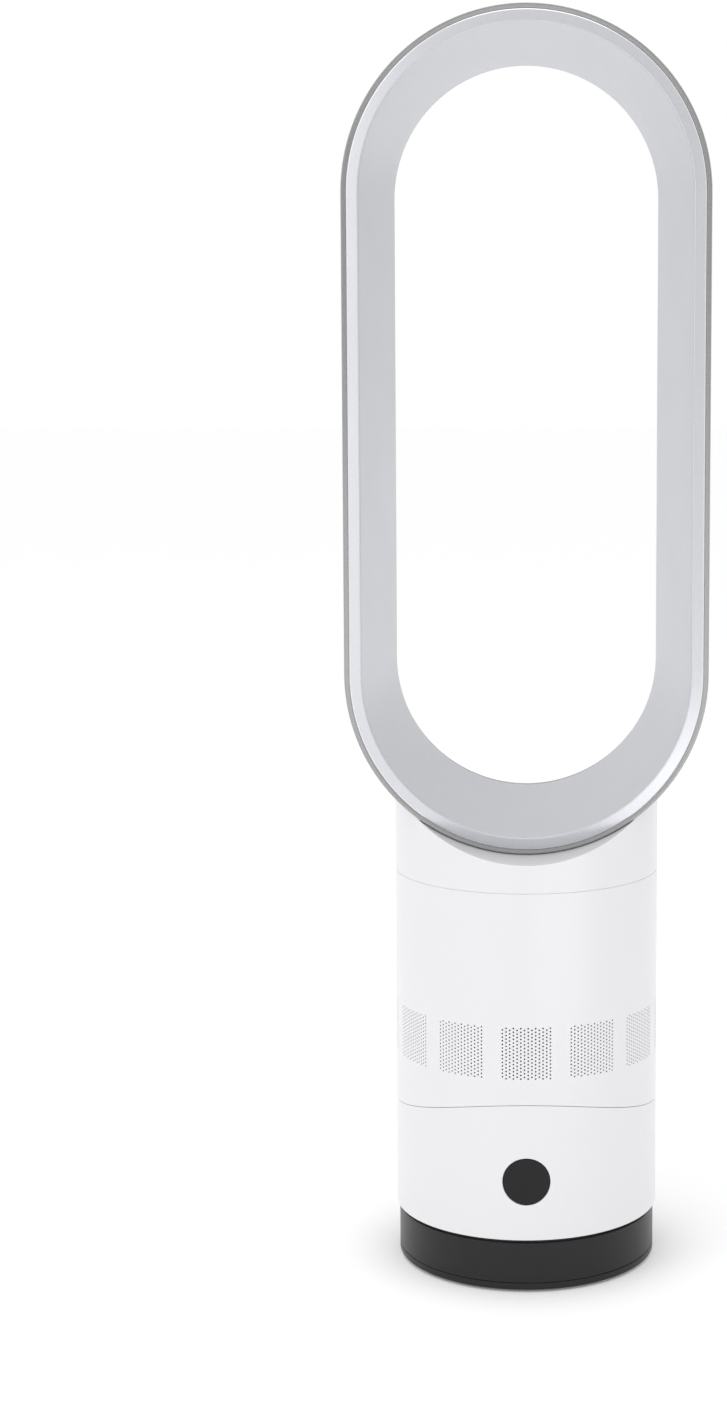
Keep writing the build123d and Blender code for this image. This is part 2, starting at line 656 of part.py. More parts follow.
rocker_under = SEAM_RADIUS - SEAM_HALF_GAP
rocker_top = rocker_under - ROCKER_THICKNESS
clamp_under = rocker_top - SLIDE_GAP
clamp_top = clamp_under - CLAMP_THICKNESS
washer_z = under_axis(clamp_top, BOLT_RADIUS + WASHER_WIDTH)
nut_z = washer_z + WASHER_THICKNESS
bolt_top_z = nut_z + NUT_HEIGHT + BOLT_END
cradle_under_z = under_axis(cradle_under)

with BuildPart() as clamp_bolts:
    for side in (-1, 1):
        with Locations((side * BOLT_OFFSET, 0, 0)):
            add(
                disc_stack(
                    (cradle_under_z - BOLT_HEAD_HEIGHT, cradle_under_z, BOLT_RADIUS + BOLT_HEAD_WIDTH, 0),
                    (cradle_under_z, bolt_top_z, BOLT_RADIUS, 0),
                )
            )
finish(clamp_bolts, "clamp_bolts")

with BuildPart() as clamp_plate:
    with BuildSketch(Plane.XY.offset(FLOOR_Z)):
        RectangleRounded(2 * BOLT_OFFSET + 2 * CLAMP_END, CLAMP_WIDTH, 5)
        Circle(CABLE_SLOT_RADIUS, mode=Mode.SUBTRACT)
        with GridLocations(2 * BOLT_OFFSET, 0, 2, 1):
            Circle(BOLT_RADIUS, mode=Mode.SUBTRACT)
    extrude(amount=BIG)
    add(tilt_drum(clamp_under), mode=Mode.INTERSECT)
    add(tilt_drum(clamp_top), mode=Mode.SUBTRACT)
finish(clamp_plate, "clamp_plate")

with BuildPart() as clamp_washers:
    for side in (-1, 1):
        with Locations((side * BOLT_OFFSET, 0, 0)):
            add(disc_stack((washer_z, nut_z, BOLT_RADIUS + WASHER_WIDTH, BOLT_RADIUS)))
finish(clamp_washers, "clamp_washers")

with BuildPart() as clamp_nuts:
    with BuildSketch(Plane.XY.offset(nut_z)):
        with GridLocations(2 * BOLT_OFFSET, 0, 2, 1):
            RegularPolygon(NUT_RADIUS, 6)
            Circle(BOLT_RADIUS, mode=Mode.SUBTRACT)
    extrude(amount=NUT_HEIGHT)
finish(clamp_nuts, "clamp_nuts")

# ================================================================ MAIN BODY (tilts)
housing_top_z = COLLAR_SEAM_Z - COLLAR_GAP / 2
rocker_boss_y = ROCKER_BOSS_RING * sin(radians(45))
rocker_boss_top_z = 104.0
main_boss_top_z = 118.0
top_flange = 3.2
ledge_thickness = 2.5

with BuildPart() as main_housing:
    with BuildSketch(Plane.XY.offset(HOUSING_BOTTOM_Z)):
        Circle(BODY_RADIUS)
        Circle(BODY_RADIUS - WALL, mode=Mode.SUBTRACT)
    extrude(amount=housing_top_z - HOUSING_BOTTOM_Z)
    add(tilt_drum(rocker_under), mode=Mode.INTERSECT)
    # Ledge for the fan unit and flange for the neck, with the screws' pilot holes
    for low_z, height, inner_radius, screw_ring, count, turn in (
        (LEDGE_Z, ledge_thickness, LEDGE_INNER_RADIUS, SHROUD_SCREW_RING, 3, 90),
        (housing_top_z - top_flange, top_flange, FLANGE_INNER_RADIUS, NECK_SCREW_RING, 4, 45),
    ):
        with BuildSketch(Plane.XY.offset(low_z)):
            Circle(BODY_RADIUS - WALL)
            Circle(inner_radius, mode=Mode.SUBTRACT)
            with PolarLocations(screw_ring, count, start_angle=turn):
                Circle(SCREW_RADIUS, mode=Mode.SUBTRACT)
        extrude(amount=height)
    with BuildPart(mode=Mode.PRIVATE) as bosses:
        with BuildSketch(Plane.XY.offset(rocker_boss_top_z)):
            with PolarLocations(ROCKER_BOSS_RING, 4, start_angle=45):
                Circle(4.5)
                Circle(SCREW_RADIUS, mode=Mode.SUBTRACT)
        extrude(amount=main_boss_top_z - rocker_boss_top_z)
        add(disc_stack((FLOOR_Z, BIG + FLOOR_Z, BODY_RADIUS - 1, 0)), mode=Mode.INTERSECT)
    add(bosses.part)
    # Air intake: each column of the perforation is one upright slot
    with BuildPart(mode=Mode.PRIVATE) as patch:
        for column in range(PATCH_COLUMNS):
            turn = (column - (PATCH_COLUMNS - 1) / 2) * COLUMN_PITCH
            with Locations(Location((0, 0, PATCH_Z), (0, 0, turn))):
                with Locations((0, -BODY_RADIUS + WALL / 2, 0)):
                    Box(INTAKE_WIDTH, 3 * WALL, PATCH_HEIGHT)
    with BuildPart(mode=Mode.PRIVATE) as patches:
        for index in range(PATCHES):
            turn = (index - (PATCHES - 1) / 2) * PATCH_PITCH
            with Locations(Location((0, 0, 0), (0, 0, turn))):
                add(patch.part)
    add(patches.part, mode=Mode.SUBTRACT)
finish(main_housing, "main_housing")

rocker_head_z = 99.0
slot_half_length = SEAM_RADIUS * sin(radians(TILT_TRAVEL))
with BuildPart() as rocker_plate:
    add(curved_plate(rocker_under, rocker_top, BODY_RADIUS - WALL - 0.1))
    with BuildPart(mode=Mode.PRIVATE) as rocker_bosses:
        with BuildSketch(Plane.XY.offset(FLOOR_Z)):
            with PolarLocations(ROCKER_BOSS_RING, 4, start_angle=45):
                Circle(3.8)
        extrude(amount=rocker_boss_top_z - FLOOR_Z)
        add(tilt_drum(rocker_under), mode=Mode.INTERSECT)
    add(rocker_bosses.part)
    with BuildSketch(Plane.XY.offset(FLOOR_Z)):
        SlotOverall(2 * (slot_half_length + CABLE_SLOT_RADIUS + 1), 2 * CABLE_SLOT_RADIUS + 1, rotation=90)
        with GridLocations(2 * BOLT_OFFSET, 0, 2, 1):
            SlotOverall(2 * (slot_half_length + BOLT_RADIUS + 1), 2 * BOLT_RADIUS + 0.7, rotation=90)
        with PolarLocations(ROCKER_BOSS_RING, 4, start_angle=45):
            Circle(SCREW_RADIUS + HOLE_CLEARANCE)
    extrude(amount=BIG, mode=Mode.SUBTRACT)
    with BuildSketch(Plane.XY.offset(FLOOR_Z)):
        with PolarLocations(ROCKER_BOSS_RING, 4, start_angle=45):
            Circle(SCREW_HEAD_RADIUS + 0.2)
    extrude(amount=rocker_head_z - FLOOR_Z, mode=Mode.SUBTRACT)
finish(rocker_plate, "rocker_plate")

with BuildPart() as rocker_screws:
    with PolarLocations(ROCKER_BOSS_RING, 4, start_angle=45):
        with Locations(Location((0, 0, rocker_head_z - 1.4), (180, 0, 0))):
            add(screw(12.0, head_height=1.4))
finish(rocker_screws, "rocker_screws")

# Fan unit: shroud, diffuser vanes and motor pod
seal_z = LEDGE_Z + ledge_thickness
seal_thickness = 1.5
flange_z = seal_z + seal_thickness
flange_thickness = 2.5
cone_top_z = BUCKET_FLOOR_Z - 0.5

with BuildPart() as shroud_seal:
    with BuildSketch(Plane.XY.offset(seal_z)):
        Circle(BODY_RADIUS - WALL - 0.2)
        Circle(LEDGE_INNER_RADIUS, mode=Mode.SUBTRACT)
        with PolarLocations(SHROUD_SCREW_RING, 3, start_angle=90):
            Circle(SCREW_RADIUS + 0.2, mode=Mode.SUBTRACT)
    extrude(amount=seal_thickness)
finish(shroud_seal, "shroud_seal")

with BuildPart() as impeller_shroud:
    with BuildSketch(Plane.XZ):
        Polygon(
            (INLET_RADIUS + 3.5, LEDGE_Z - 1),
            (INLET_RADIUS + 1, LEDGE_Z),
            (INLET_RADIUS, LEDGE_Z + 2),
            (INLET_RADIUS, WHEEL_BOTTOM_Z),
            (SHROUD_RADIUS, cone_top_z),
            (SHROUD_RADIUS, SHROUD_TOP_Z),
            (SHROUD_RADIUS + SHROUD_WALL, SHROUD_TOP_Z),
            (SHROUD_RADIUS + SHROUD_WALL, cone_top_z - 1),
            (INLET_RADIUS + 3.2, WHEEL_BOTTOM_Z),
            align=None,
        )
    revolve(axis=Axis.Z)
    with BuildSketch(Plane.XY.offset(flange_z)):
        Circle(BODY_RADIUS - WALL - 0.2)
        Circle(INLET_RADIUS + 3.0, mode=Mode.SUBTRACT)
        with PolarLocations(SHROUD_SCREW_RING, 3, start_angle=90):
            Circle(SCREW_RADIUS + HOLE_CLEARANCE, mode=Mode.SUBTRACT)
    extrude(amount=flange_thickness)
finish(impeller_shroud, "impeller_shroud")

with BuildPart() as shroud_screws:
    with PolarLocations(SHROUD_SCREW_RING, 3, start_angle=90):
        with Locations((0, 0, flange_z + flange_thickness + SCREW_HEAD_HEIGHT)):
            add(screw(5.5))
finish(shroud_screws, "shroud_screws")

pod_floor_z = BUCKET_FLOOR_Z + 2.5
case_floor_z = pod_floor_z + MOUNT_HEIGHT
with BuildPart() as motor_pod:
    add(
        disc_stack(
            (BUCKET_FLOOR_Z, pod_floor_z, BUCKET_RADIUS, SHAFT_RADIUS + 2),
            (pod_floor_z, pod_floor_z + BEARING_WIDTH, BEARING_RADIUS + 2, BEARING_RADIUS),
            (pod_floor_z, BUCKET_TOP_Z, BUCKET_RADIUS, BUCKET_RADIUS - 2),
        )
    )
    with BuildPart(mode=Mode.PRIVATE) as vanes:
        with PolarLocations(0, VANES):
            with Locations(Location((BUCKET_RADIUS + 6, 0, pod_floor_z + 13), (24, 0, 0))):
                Box(16, 1.6, 24)
        add(disc_stack((0, 2 * BIG, SHROUD_RADIUS - 0.05, BUCKET_RADIUS - 1)), mode=Mode.INTERSECT)
    add(vanes.part)
    with BuildSketch(Plane.XY.offset(BUCKET_FLOOR_Z)):
        with PolarLocations(MOUNT_RING_RADIUS, 3):
            Circle(SCREW_RADIUS)
    extrude(amount=2.5, mode=Mode.SUBTRACT)
finish(motor_pod, "motor_pod")

with BuildPart() as pod_cap:
    for peak, rim, mode in ((CAP_HEIGHT, 0.0, Mode.ADD), (CAP_HEIGHT - 2, 2.2, Mode.SUBTRACT)):
        with BuildSketch(Plane.XZ):
            Polygon(
                (0, BUCKET_TOP_Z),
                (BUCKET_RADIUS - rim, BUCKET_TOP_Z),
                (BUCKET_RADIUS - 2 * rim, BUCKET_TOP_Z + 1),
                (BUCKET_RADIUS / 2, BUCKET_TOP_Z + 0.8 * peak),
                (0, BUCKET_TOP_Z + peak),
                align=None,
            )
        revolve(axis=Axis.Z, mode=mode)
finish(pod_cap, "pod_cap")

with BuildPart() as motor_mounts:
    with BuildSketch(Plane.XY.offset(pod_floor_z)):
        with PolarLocations(MOUNT_RING_RADIUS, 3):
            Circle(5.0)
            Circle(SCREW_RADIUS + HOLE_CLEARANCE, mode=Mode.SUBTRACT)
    extrude(amount=MOUNT_HEIGHT)
finish(motor_mounts, "motor_mounts")

case_floor_thickness = 2.0
with BuildPart() as motor_case:
    add(
        disc_stack(
            (case_floor_z, case_floor_z + case_floor_thickness, MOUNT_RING_RADIUS + 4, BEARING_RADIUS + 2.5),
            (case_floor_z + case_floor_thickness, CASE_TOP_Z, CASE_RADIUS, CASE_RADIUS - 2),
        )
    )
    with BuildSketch(Plane.XY.offset(case_floor_z)):
        with PolarLocations(MOUNT_RING_RADIUS, 3):
            Circle(SCREW_RADIUS + HOLE_CLEARANCE)
    extrude(amount=case_floor_thickness, mode=Mode.SUBTRACT)
finish(motor_case, "motor_case")

with BuildPart() as mount_screws:
    with PolarLocations(MOUNT_RING_RADIUS, 3):
        with Locations((0, 0, case_floor_z + case_floor_thickness + SCREW_HEAD_HEIGHT)):
            add(screw(8.0))
finish(mount_screws, "mount_screws")

with BuildPart() as motor_stator:
    add(disc_stack((case_floor_z + 3, CASE_TOP_Z - 2, CASE_RADIUS - 2, ROTOR_RADIUS + 0.8)))
    with BuildSketch(Plane.XY.offset(case_floor_z + 3)):
        with PolarLocations(19.0, STATOR_SLOTS):
            Rectangle(9, 3.5)
    extrude(amount=CASE_TOP_Z - 5 - case_floor_z, mode=Mode.SUBTRACT)
finish(motor_stator, "motor_stator")

with BuildPart() as motor_case_lid:
    add(
        disc_stack(
            (CASE_TOP_Z, CASE_TOP_Z + 2, CASE_RADIUS, BEARING_RADIUS),
            (CASE_TOP_Z + 2, CASE_TOP_Z + BEARING_WIDTH, BEARING_RADIUS + 2, BEARING_RADIUS),
        )
    )
    with BuildSketch(Plane.XY.offset(CASE_TOP_Z + 2)):
        with PolarLocations(20.0, 3, start_angle=60):
            Circle(2.0)
    extrude(amount=1.5)
finish(motor_case_lid, "motor_case_lid")

for label, low_z in (("lower_bearing", pod_floor_z), ("upper_bearing", CASE_TOP_Z)):
    with BuildPart() as bearing:
        add(disc_stack((low_z, low_z + BEARING_WIDTH, BEARING_RADIUS, SHAFT_RADIUS + SHAFT_CLEARANCE)))
        # Shallow recess between the two races on each face
        with BuildSketch(Plane.XY.offset(low_z), Plane.XY.offset(low_z + BEARING_WIDTH - 0.4)):
            Circle(BEARING_RADIUS - 1.6)
            Circle(SHAFT_RADIUS + 1.4, mode=Mode.SUBTRACT)
        extrude(amount=0.4, mode=Mode.SUBTRACT)
    finish(bearing, label)

with BuildPart() as driver_board:
    add(disc_stack((CASE_TOP_Z + 3.5, CASE_TOP_Z + 5.1, DRIVER_BOARD_RADIUS, 12.0)))
    with BuildSketch(Plane.XY.offset(CASE_TOP_Z + 5.1)):
        with PolarLocations(26.0, 6):
            Rectangle(7, 9)
    extrude(amount=1.8)
finish(driver_board, "driver_board")

# Impeller and rotor turn together
with BuildPart() as impeller_wheel:
    with BuildSketch(Plane.XZ):
        Polygon(
            (SHAFT_RADIUS, WHEEL_BOTTOM_Z),
            (10, WHEEL_BOTTOM_Z),
            (14, WHEEL_BOTTOM_Z + 3),
            (42, WHEEL_TOP_Z - 2),
            (42, WHEEL_TOP_Z),
            (38, WHEEL_TOP_Z),
            (13, WHEEL_BOTTOM_Z + 8),
            (SHAFT_RADIUS, WHEEL_BOTTOM_Z + 8),
            align=None,
        )
    revolve(axis=Axis.Z)
    with BuildPart(mode=Mode.PRIVATE) as blades:
        with BuildSketch(Plane.XY.offset(WHEEL_BOTTOM_Z)):
            with BuildSketch(mode=Mode.PRIVATE) as blade_plan:
                with BuildLine():
                    ThreePointArc((11, 0), (32, -9), (53, -34))
                trace(line_width=1.5)
            with PolarLocations(0, BLADES):
                add(blade_plan.sketch)
        extrude(amount=WHEEL_TOP_Z - WHEEL_BOTTOM_Z)
        with BuildPart(mode=Mode.PRIVATE) as passage:
            with BuildSketch(Plane.XZ):
                Polygon(
                    (12, WHEEL_BOTTOM_Z + 1.5),
                    (INLET_RADIUS - WHEEL_TIP_GAP, WHEEL_BOTTOM_Z + 0.5),
                    (SHROUD_RADIUS - 2.7, WHEEL_TOP_Z),
                    (40, WHEEL_TOP_Z - 1),
                    align=None,
                )
            revolve(axis=Axis.Z)
        add(passage.part, mode=Mode.INTERSECT)
    add(blades.part)
finish(impeller_wheel, "impeller_wheel")

with BuildPart() as impeller_nut:
    with BuildSketch(Plane.XY.offset(WHEEL_BOTTOM_Z - 3)):
        RegularPolygon(4.6, 6)
        Circle(SHAFT_RADIUS, mode=Mode.SUBTRACT)
    extrude(amount=3)
finish(impeller_nut, "impeller_nut")

with BuildPart() as motor_shaft:
    add(disc_stack((WHEEL_BOTTOM_Z - 4, CASE_TOP_Z + BEARING_WIDTH, SHAFT_RADIUS, 0)))
    chamfer(motor_shaft.edges(), length=0.4)
finish(motor_shaft, "motor_shaft")

with BuildPart() as motor_rotor:
    add(disc_stack((case_floor_z + 4, CASE_TOP_Z - 3, ROTOR_RADIUS, SHAFT_RADIUS)))
finish(motor_rotor, "motor_rotor")

# ---------------------------------------------------------------- neck and air loop
neck_bottom_z = COLLAR_SEAM_Z + COLLAR_GAP / 2
neck_floor_thickness = 2.5
with BuildPart() as duct_gasket:
    add(disc_stack((SHROUD_TOP_Z, neck_bottom_z, SHROUD_RADIUS + SHROUD_WALL, SHROUD_RADIUS)))
finish(duct_gasket, "duct_gasket")

loop_screw_turn = degrees(atan2(42.0, 88.0))
loop_screw_radius = LOOP_RADIUS + WALL + 0.1


def loop_screw_places():
    """Places of the loop's screws, square to its underside."""
    places = []
    for side in (-1, 1):
        turn = side * loop_screw_turn
        x = loop_screw_radius * sin(radians(turn))
        z = LOOP_LOW_Z - loop_screw_radius * cos(radians(turn))
        places += [Location((x, y, z), (180, turn, 0)) for y in (-20, 20)]
    return places


with BuildPart() as neck_collar:
    add(disc_stack((neck_bottom_z, LOOP_LOW_Z, BODY_RADIUS, 0)))
    add(racetrack(LOOP_RADIUS + 0.1), mode=Mode.SUBTRACT)
    with BuildPart(mode=Mode.PRIVATE) as hollow:
        hollow_bottom_z = neck_bottom_z + neck_floor_thickness
        add(disc_stack((hollow_bottom_z, LOOP_LOW_Z, BODY_RADIUS - WALL, 0)))
        add(racetrack(LOOP_RADIUS + WALL), mode=Mode.SUBTRACT)
    add(hollow.part, mode=Mode.SUBTRACT)
    with BuildSketch(Plane.XY.offset(neck_bottom_z)):
        Circle(SHROUD_RADIUS)
        with PolarLocations(NECK_SCREW_RING, 4, start_angle=45):
            Circle(SCREW_RADIUS + HOLE_CLEARANCE)
    extrude(amount=neck_floor_thickness, mode=Mode.SUBTRACT)
    with BuildSketch(Plane.XY.offset(neck_bottom_z)):
        RectangleRounded(2 * DUCT_HALF_X, 2 * DUCT_HALF_Y, 8)
    extrude(amount=BIG, mode=Mode.SUBTRACT)
    with Locations(*loop_screw_places()):
        Cylinder(SCREW_RADIUS + HOLE_CLEARANCE, 20, mode=Mode.SUBTRACT)
finish(neck_collar, "neck_collar")

with BuildPart() as neck_screws:
    with PolarLocations(NECK_SCREW_RING, 4, start_angle=45):
        with Locations((0, 0, neck_bottom_z + neck_floor_thickness + SCREW_HEAD_HEIGHT)):
            add(screw(5.6))
finish(neck_screws, "neck_screws")

# Outer shell: rim at the front, round back, and a thin inner lip that bounds the air slot
with BuildSketch() as shell_section:
    rear = LOOP_HALF_DEPTH
    front = -LOOP_HALF_DEPTH + 1.0
    back_start = THROAT_Y - 8.0
    lip_end = THROAT_Y - 5.5
    with BuildLine():
        Line((LOOP_RADIUS, front + 1), (LOOP_RADIUS, back_start))
        ThreePointArc((LOOP_RADIUS, back_start), (95.2, 41.5), (86, rear))
        Line((86, rear), (81, rear))
        ThreePointArc((81, rear), (76.1, 45.3), (THROAT_RADIUS, 40.5))
        Line((THROAT_RADIUS, 40.5), (THROAT_RADIUS, lip_end))
        Line((THROAT_RADIUS, lip_end), (THROAT_RADIUS + 0.7, lip_end))
        Line((THROAT_RADIUS + 0.7, lip_end), (THROAT_RADIUS + 1.6, 40.2))
        ThreePointArc((THROAT_RADIUS + 1.6, 40.2), (77.3, 43.9), (81, rear - SHELL_WALL))
        Line((81, rear - SHELL_WALL), (86, rear - SHELL_WALL))
        ThreePointArc((86, rear - SHELL_WALL), (93.6, 40.2), (LOOP_RADIUS - SHELL_WALL, back_start))
        Line((LOOP_RADIUS - SHELL_WALL, back_start), (LOOP_RADIUS - SHELL_WALL, front + 4))
        Line((LOOP_RADIUS - SHELL_WALL, front + 4), (LOOP_RADIUS - RIM_WIDTH, front + 3))
        Line((LOOP_RADIUS - RIM_WIDTH, front + 3), (LOOP_RADIUS - RIM_WIDTH, front))
        Line((LOOP_RADIUS - RIM_WIDTH, front), (LOOP_RADIUS - 1, front))
        Line((LOOP_RADIUS - 1, front), (LOOP_RADIUS, front + 1))
    make_face()

with BuildPart() as loop_shell:
    add(ring_about_spine(shell_section.sketch))
    with BuildSketch(Plane.XY.offset(neck_bottom_z)):
        RectangleRounded(2 * DUCT_HALF_X, 2 * DUCT_HALF_Y, 8)
    extrude(amount=LOOP_LOW_Z - LIP_RADIUS - neck_bottom_z - 2, mode=Mode.SUBTRACT)
    with Locations(*loop_screw_places()):
        Cylinder(SCREW_RADIUS, 12, mode=Mode.SUBTRACT)
finish(loop_shell, "loop_shell")

# Diffuser: front lip, the long flared wall, and the rounded edge behind the air slot
with BuildSketch() as diffuser_section:
    bezel_radius = LOOP_RADIUS - RIM_WIDTH - 0.3
    face_y = -LOOP_HALF_DEPTH
    wall_radius = THROAT_RADIUS + 0.7 + SLOT_WIDTH
    with BuildLine():
        Line((bezel_radius, face_y + 4), (bezel_radius, face_y + 1.8))
        Line((bezel_radius, face_y + 1.8), (bezel_radius - 0.6, face_y + 1.3))
        Line((bezel_radius - 0.6, face_y + 1.3), (LIP_RADIUS + 0.5, face_y))
        Line((LIP_RADIUS + 0.5, face_y), (LIP_RADIUS, face_y + 0.4))
        ThreePointArc((LIP_RADIUS, face_y + 0.4), (81.3, -4), (wall_radius, lip_end))
        ThreePointArc((wall_radius, lip_end), (77.6, 38.6), (83, 41.2))
        Line((83, 41.2), (83, 39.2))
        ThreePointArc((83, 39.2), (79.5, 37.4), (wall_radius + 2, lip_end))
        ThreePointArc((wall_radius + 2, lip_end), (83.3, -4), (LIP_RADIUS + 1.9, face_y + 2.6))
        Line((LIP_RADIUS + 1.9, face_y + 2.6), (bezel_radius - 2, face_y + 4))
        Line((bezel_radius - 2, face_y + 4), (bezel_radius, face_y + 4))
    make_face()

with BuildPart() as loop_diffuser:
    add(ring_about_spine(diffuser_section.sketch))
finish(loop_diffuser, "loop_diffuser")

# Blocks that hold the diffuser's rear edge off the shell
block_y = (41.2 + rear - SHELL_WALL) / 2
block_depth = rear - SHELL_WALL - 41.2
with BuildPart() as slot_spacers:
    with Locations((0, block_y, (LOOP_LOW_Z + LOOP_HIGH_Z) / 2)):
        with GridLocations(2 * 82, 0, 2, 1):
            for step in range(-2, 3):
                with Locations((0, 0, step * (LOOP_HIGH_Z - LOOP_LOW_Z) / 4)):
                    Box(1.6, block_depth, 8)
    with Locations((0, block_y, LOOP_HIGH_Z + 82), (0, block_y, LOOP_LOW_Z - 82)):
        Box(8, block_depth, 1.6)
finish(slot_spacers, "slot_spacers")

with BuildPart() as loop_screws:
    with Locations(*loop_screw_places()):
        with Locations((0, 0, SCREW_HEAD_HEIGHT)):
            add(screw(5.0))
finish(loop_screws, "loop_screws")
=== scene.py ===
import json
from math import atan2, cos, pi, radians, sin, sqrt

import bmesh
import bpy
from bpy.types import Operator, Panel, PropertyGroup
from bpy.props import FloatProperty, FloatVectorProperty, IntProperty, PointerProperty
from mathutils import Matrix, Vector


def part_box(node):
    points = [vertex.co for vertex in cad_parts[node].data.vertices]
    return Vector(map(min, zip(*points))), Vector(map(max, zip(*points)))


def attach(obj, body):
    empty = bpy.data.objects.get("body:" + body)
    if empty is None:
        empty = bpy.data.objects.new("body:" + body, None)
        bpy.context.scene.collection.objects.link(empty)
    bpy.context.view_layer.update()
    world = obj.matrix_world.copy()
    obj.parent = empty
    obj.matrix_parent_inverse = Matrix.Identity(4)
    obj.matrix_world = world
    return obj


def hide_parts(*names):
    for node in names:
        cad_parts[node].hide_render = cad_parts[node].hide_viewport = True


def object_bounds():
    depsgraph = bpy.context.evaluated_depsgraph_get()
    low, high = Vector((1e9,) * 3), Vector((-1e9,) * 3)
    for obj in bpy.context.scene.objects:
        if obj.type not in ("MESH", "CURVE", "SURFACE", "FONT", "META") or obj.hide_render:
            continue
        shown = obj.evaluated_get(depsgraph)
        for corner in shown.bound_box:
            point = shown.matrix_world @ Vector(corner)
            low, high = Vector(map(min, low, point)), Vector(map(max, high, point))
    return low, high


bl_info = {
    "name": "Bladeless tower fan",
    "version": (1, 0, 0),
    "blender": (4, 5, 0),
    "location": "View3D > Sidebar > Fan",
    "description": "Builds the skins, finishes and studio of a bladeless tower fan round its CAD frame",
    "category": "Object",
}

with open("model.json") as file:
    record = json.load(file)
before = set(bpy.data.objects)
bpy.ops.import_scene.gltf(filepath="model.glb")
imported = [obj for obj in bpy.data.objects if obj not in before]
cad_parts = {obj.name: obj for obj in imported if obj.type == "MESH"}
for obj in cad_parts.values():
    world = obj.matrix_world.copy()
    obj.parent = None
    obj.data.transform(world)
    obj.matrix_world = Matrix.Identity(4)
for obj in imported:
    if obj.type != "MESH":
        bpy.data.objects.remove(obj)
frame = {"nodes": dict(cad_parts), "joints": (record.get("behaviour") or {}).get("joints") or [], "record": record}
CAD_BOX = [list(corner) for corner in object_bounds()]
SLOT_OF = {part["node"]: part["material_slot"] for part in frame["record"]["subparts"]}
JOINTS = {joint["name"]: joint for joint in frame["joints"]}
MM = 0.001

# Places and sizes that the CAD frame gives
HOUSING_LOW, HOUSING_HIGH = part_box("main_housing")
SKIRT_LOW, SKIRT_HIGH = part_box("lower_housing")
NECK_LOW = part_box("neck_collar")[0]
FOOT_LOW, FOOT_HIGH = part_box("foot_shell")
LOOP_LOW, LOOP_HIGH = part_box("loop_shell")
FLARE_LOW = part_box("loop_diffuser")[0]
KEY_LOW, KEY_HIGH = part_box("power_key")
SOCKET_LOW, SOCKET_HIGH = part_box("power_inlet")
TILT_Z = JOINTS["tilt"]["pos_m"][2]
BODY_RADIUS = HOUSING_HIGH.x
LOOP_RADIUS = CAD_BOX[1][0]
DRUM_RADIUS = (TILT_Z - HOUSING_LOW.z + sqrt((TILT_Z - SKIRT_HIGH.z) ** 2 + BODY_RADIUS**2)) / 2
SPINE_TOP = CAD_BOX[1][2] - LOOP_RADIUS
SPINE_FOOT = LOOP_LOW.z + LOOP_RADIUS


# ---------------- sizes and colours
def length(name, description, default):
    return FloatProperty(
        name=name, description=description, default=default, min=0.0, precision=5,
        subtype="DISTANCE", unit="LENGTH",
    )


def turn(name, description, default):
    return FloatProperty(
        name=name, description=description, default=radians(default), precision=4,
        subtype="ANGLE", unit="ROTATION",
    )


def colour(name, description, default):
    return FloatVectorProperty(
        name=name, description=description, default=default, min=0.0, max=1.0, size=3,
        subtype="COLOR",
    )


def count(name, description, default, least):
    return IntProperty(name=name, description=description, default=default, min=least)


def strength(name, description, default):
    return FloatProperty(name=name, description=description, default=default, min=0.0)


class FanSizes(PropertyGroup):
    """Sizes of the skins round the CAD frame"""

    body_radius: length("Body radius", "Outside of the white body", BODY_RADIUS)
    wall: length("Wall", "Thickness of the moulded skins", 2.5 * MM)
    edge: length("Edge radius", "Rounding of the moulded edges", 0.3 * MM)
    patch_count: count("Intake patches", "Perforated patches round the body", 11, 1)
    patch_pitch: turn("Patch pitch", "Turn from one patch to the next", 29.4)
    columns: count("Columns", "Columns of holes in a patch", 14, 2)
    column_pitch: turn("Column pitch", "Turn from one column of holes to the next", 1.56)
    rows: count("Rows", "Holes in the longer columns", 15, 2)
    row_pitch: length("Row pitch", "Height from one hole to the next", 1.98 * MM)
    hole: length("Hole", "Diameter of an intake hole", 1.02 * MM)
    patch_z: length("Patch height", "Height of the middle of the patches", 133.3 * MM)
    key_radius: length("Key radius", "Radius of the power key", 12.75 * MM)
    key_gap: length("Key gap", "Gap round the power key", 0.3 * MM)
    seam: length("Tilt seam", "Gap between the two housings at the tilt seam", 0.18 * MM)
    groove_z: length("Foot groove", "Height of the parting line round the foot", 5.4 * MM)
    rim_groove: length("Rim groove", "Width of the fine groove near the rim's edge", 0.3 * MM)


class FanColours(PropertyGroup):
    """Colours of the outside"""

    white: colour("White", "Gloss white plastic of the body", (0.765, 0.765, 0.783))
    silver: colour("Silver", "Satin silver paint of the loop", (0.61, 0.617, 0.65))
    # a lighter copy of the silver: painted light for the light that the front bevel catches
    bevel: colour("Bevel", "Lighter silver of the loop's front bevel", (0.645, 0.652, 0.685))
    # a darker copy of the silver: painted shade for the dark look of the loop's outer case and rim
    shaded_case: colour("Band", "Darker silver of the loop's outer case", (0.45, 0.45, 0.455))
    black: colour("Black", "Satin black of the foot", (0.014, 0.014, 0.015))
    key: colour("Key", "Black of the power key", (0.011, 0.011, 0.012))


class FanStudio(PropertyGroup):
    """Light and floor"""

    floor: colour("Floor", "Colour of the floor", (0.97, 0.97, 0.97))
    floor_glow: strength("Floor glow", "Light that comes up through the floor", 0.12)
    glow: strength("Surround", "Strength of the soft light all round", 0.9)
    fall_off: strength("Fall-off", "How much dimmer the right of the room is", 0.07)
    front: strength("Front", "Share of that light from straight in front", 0.58)


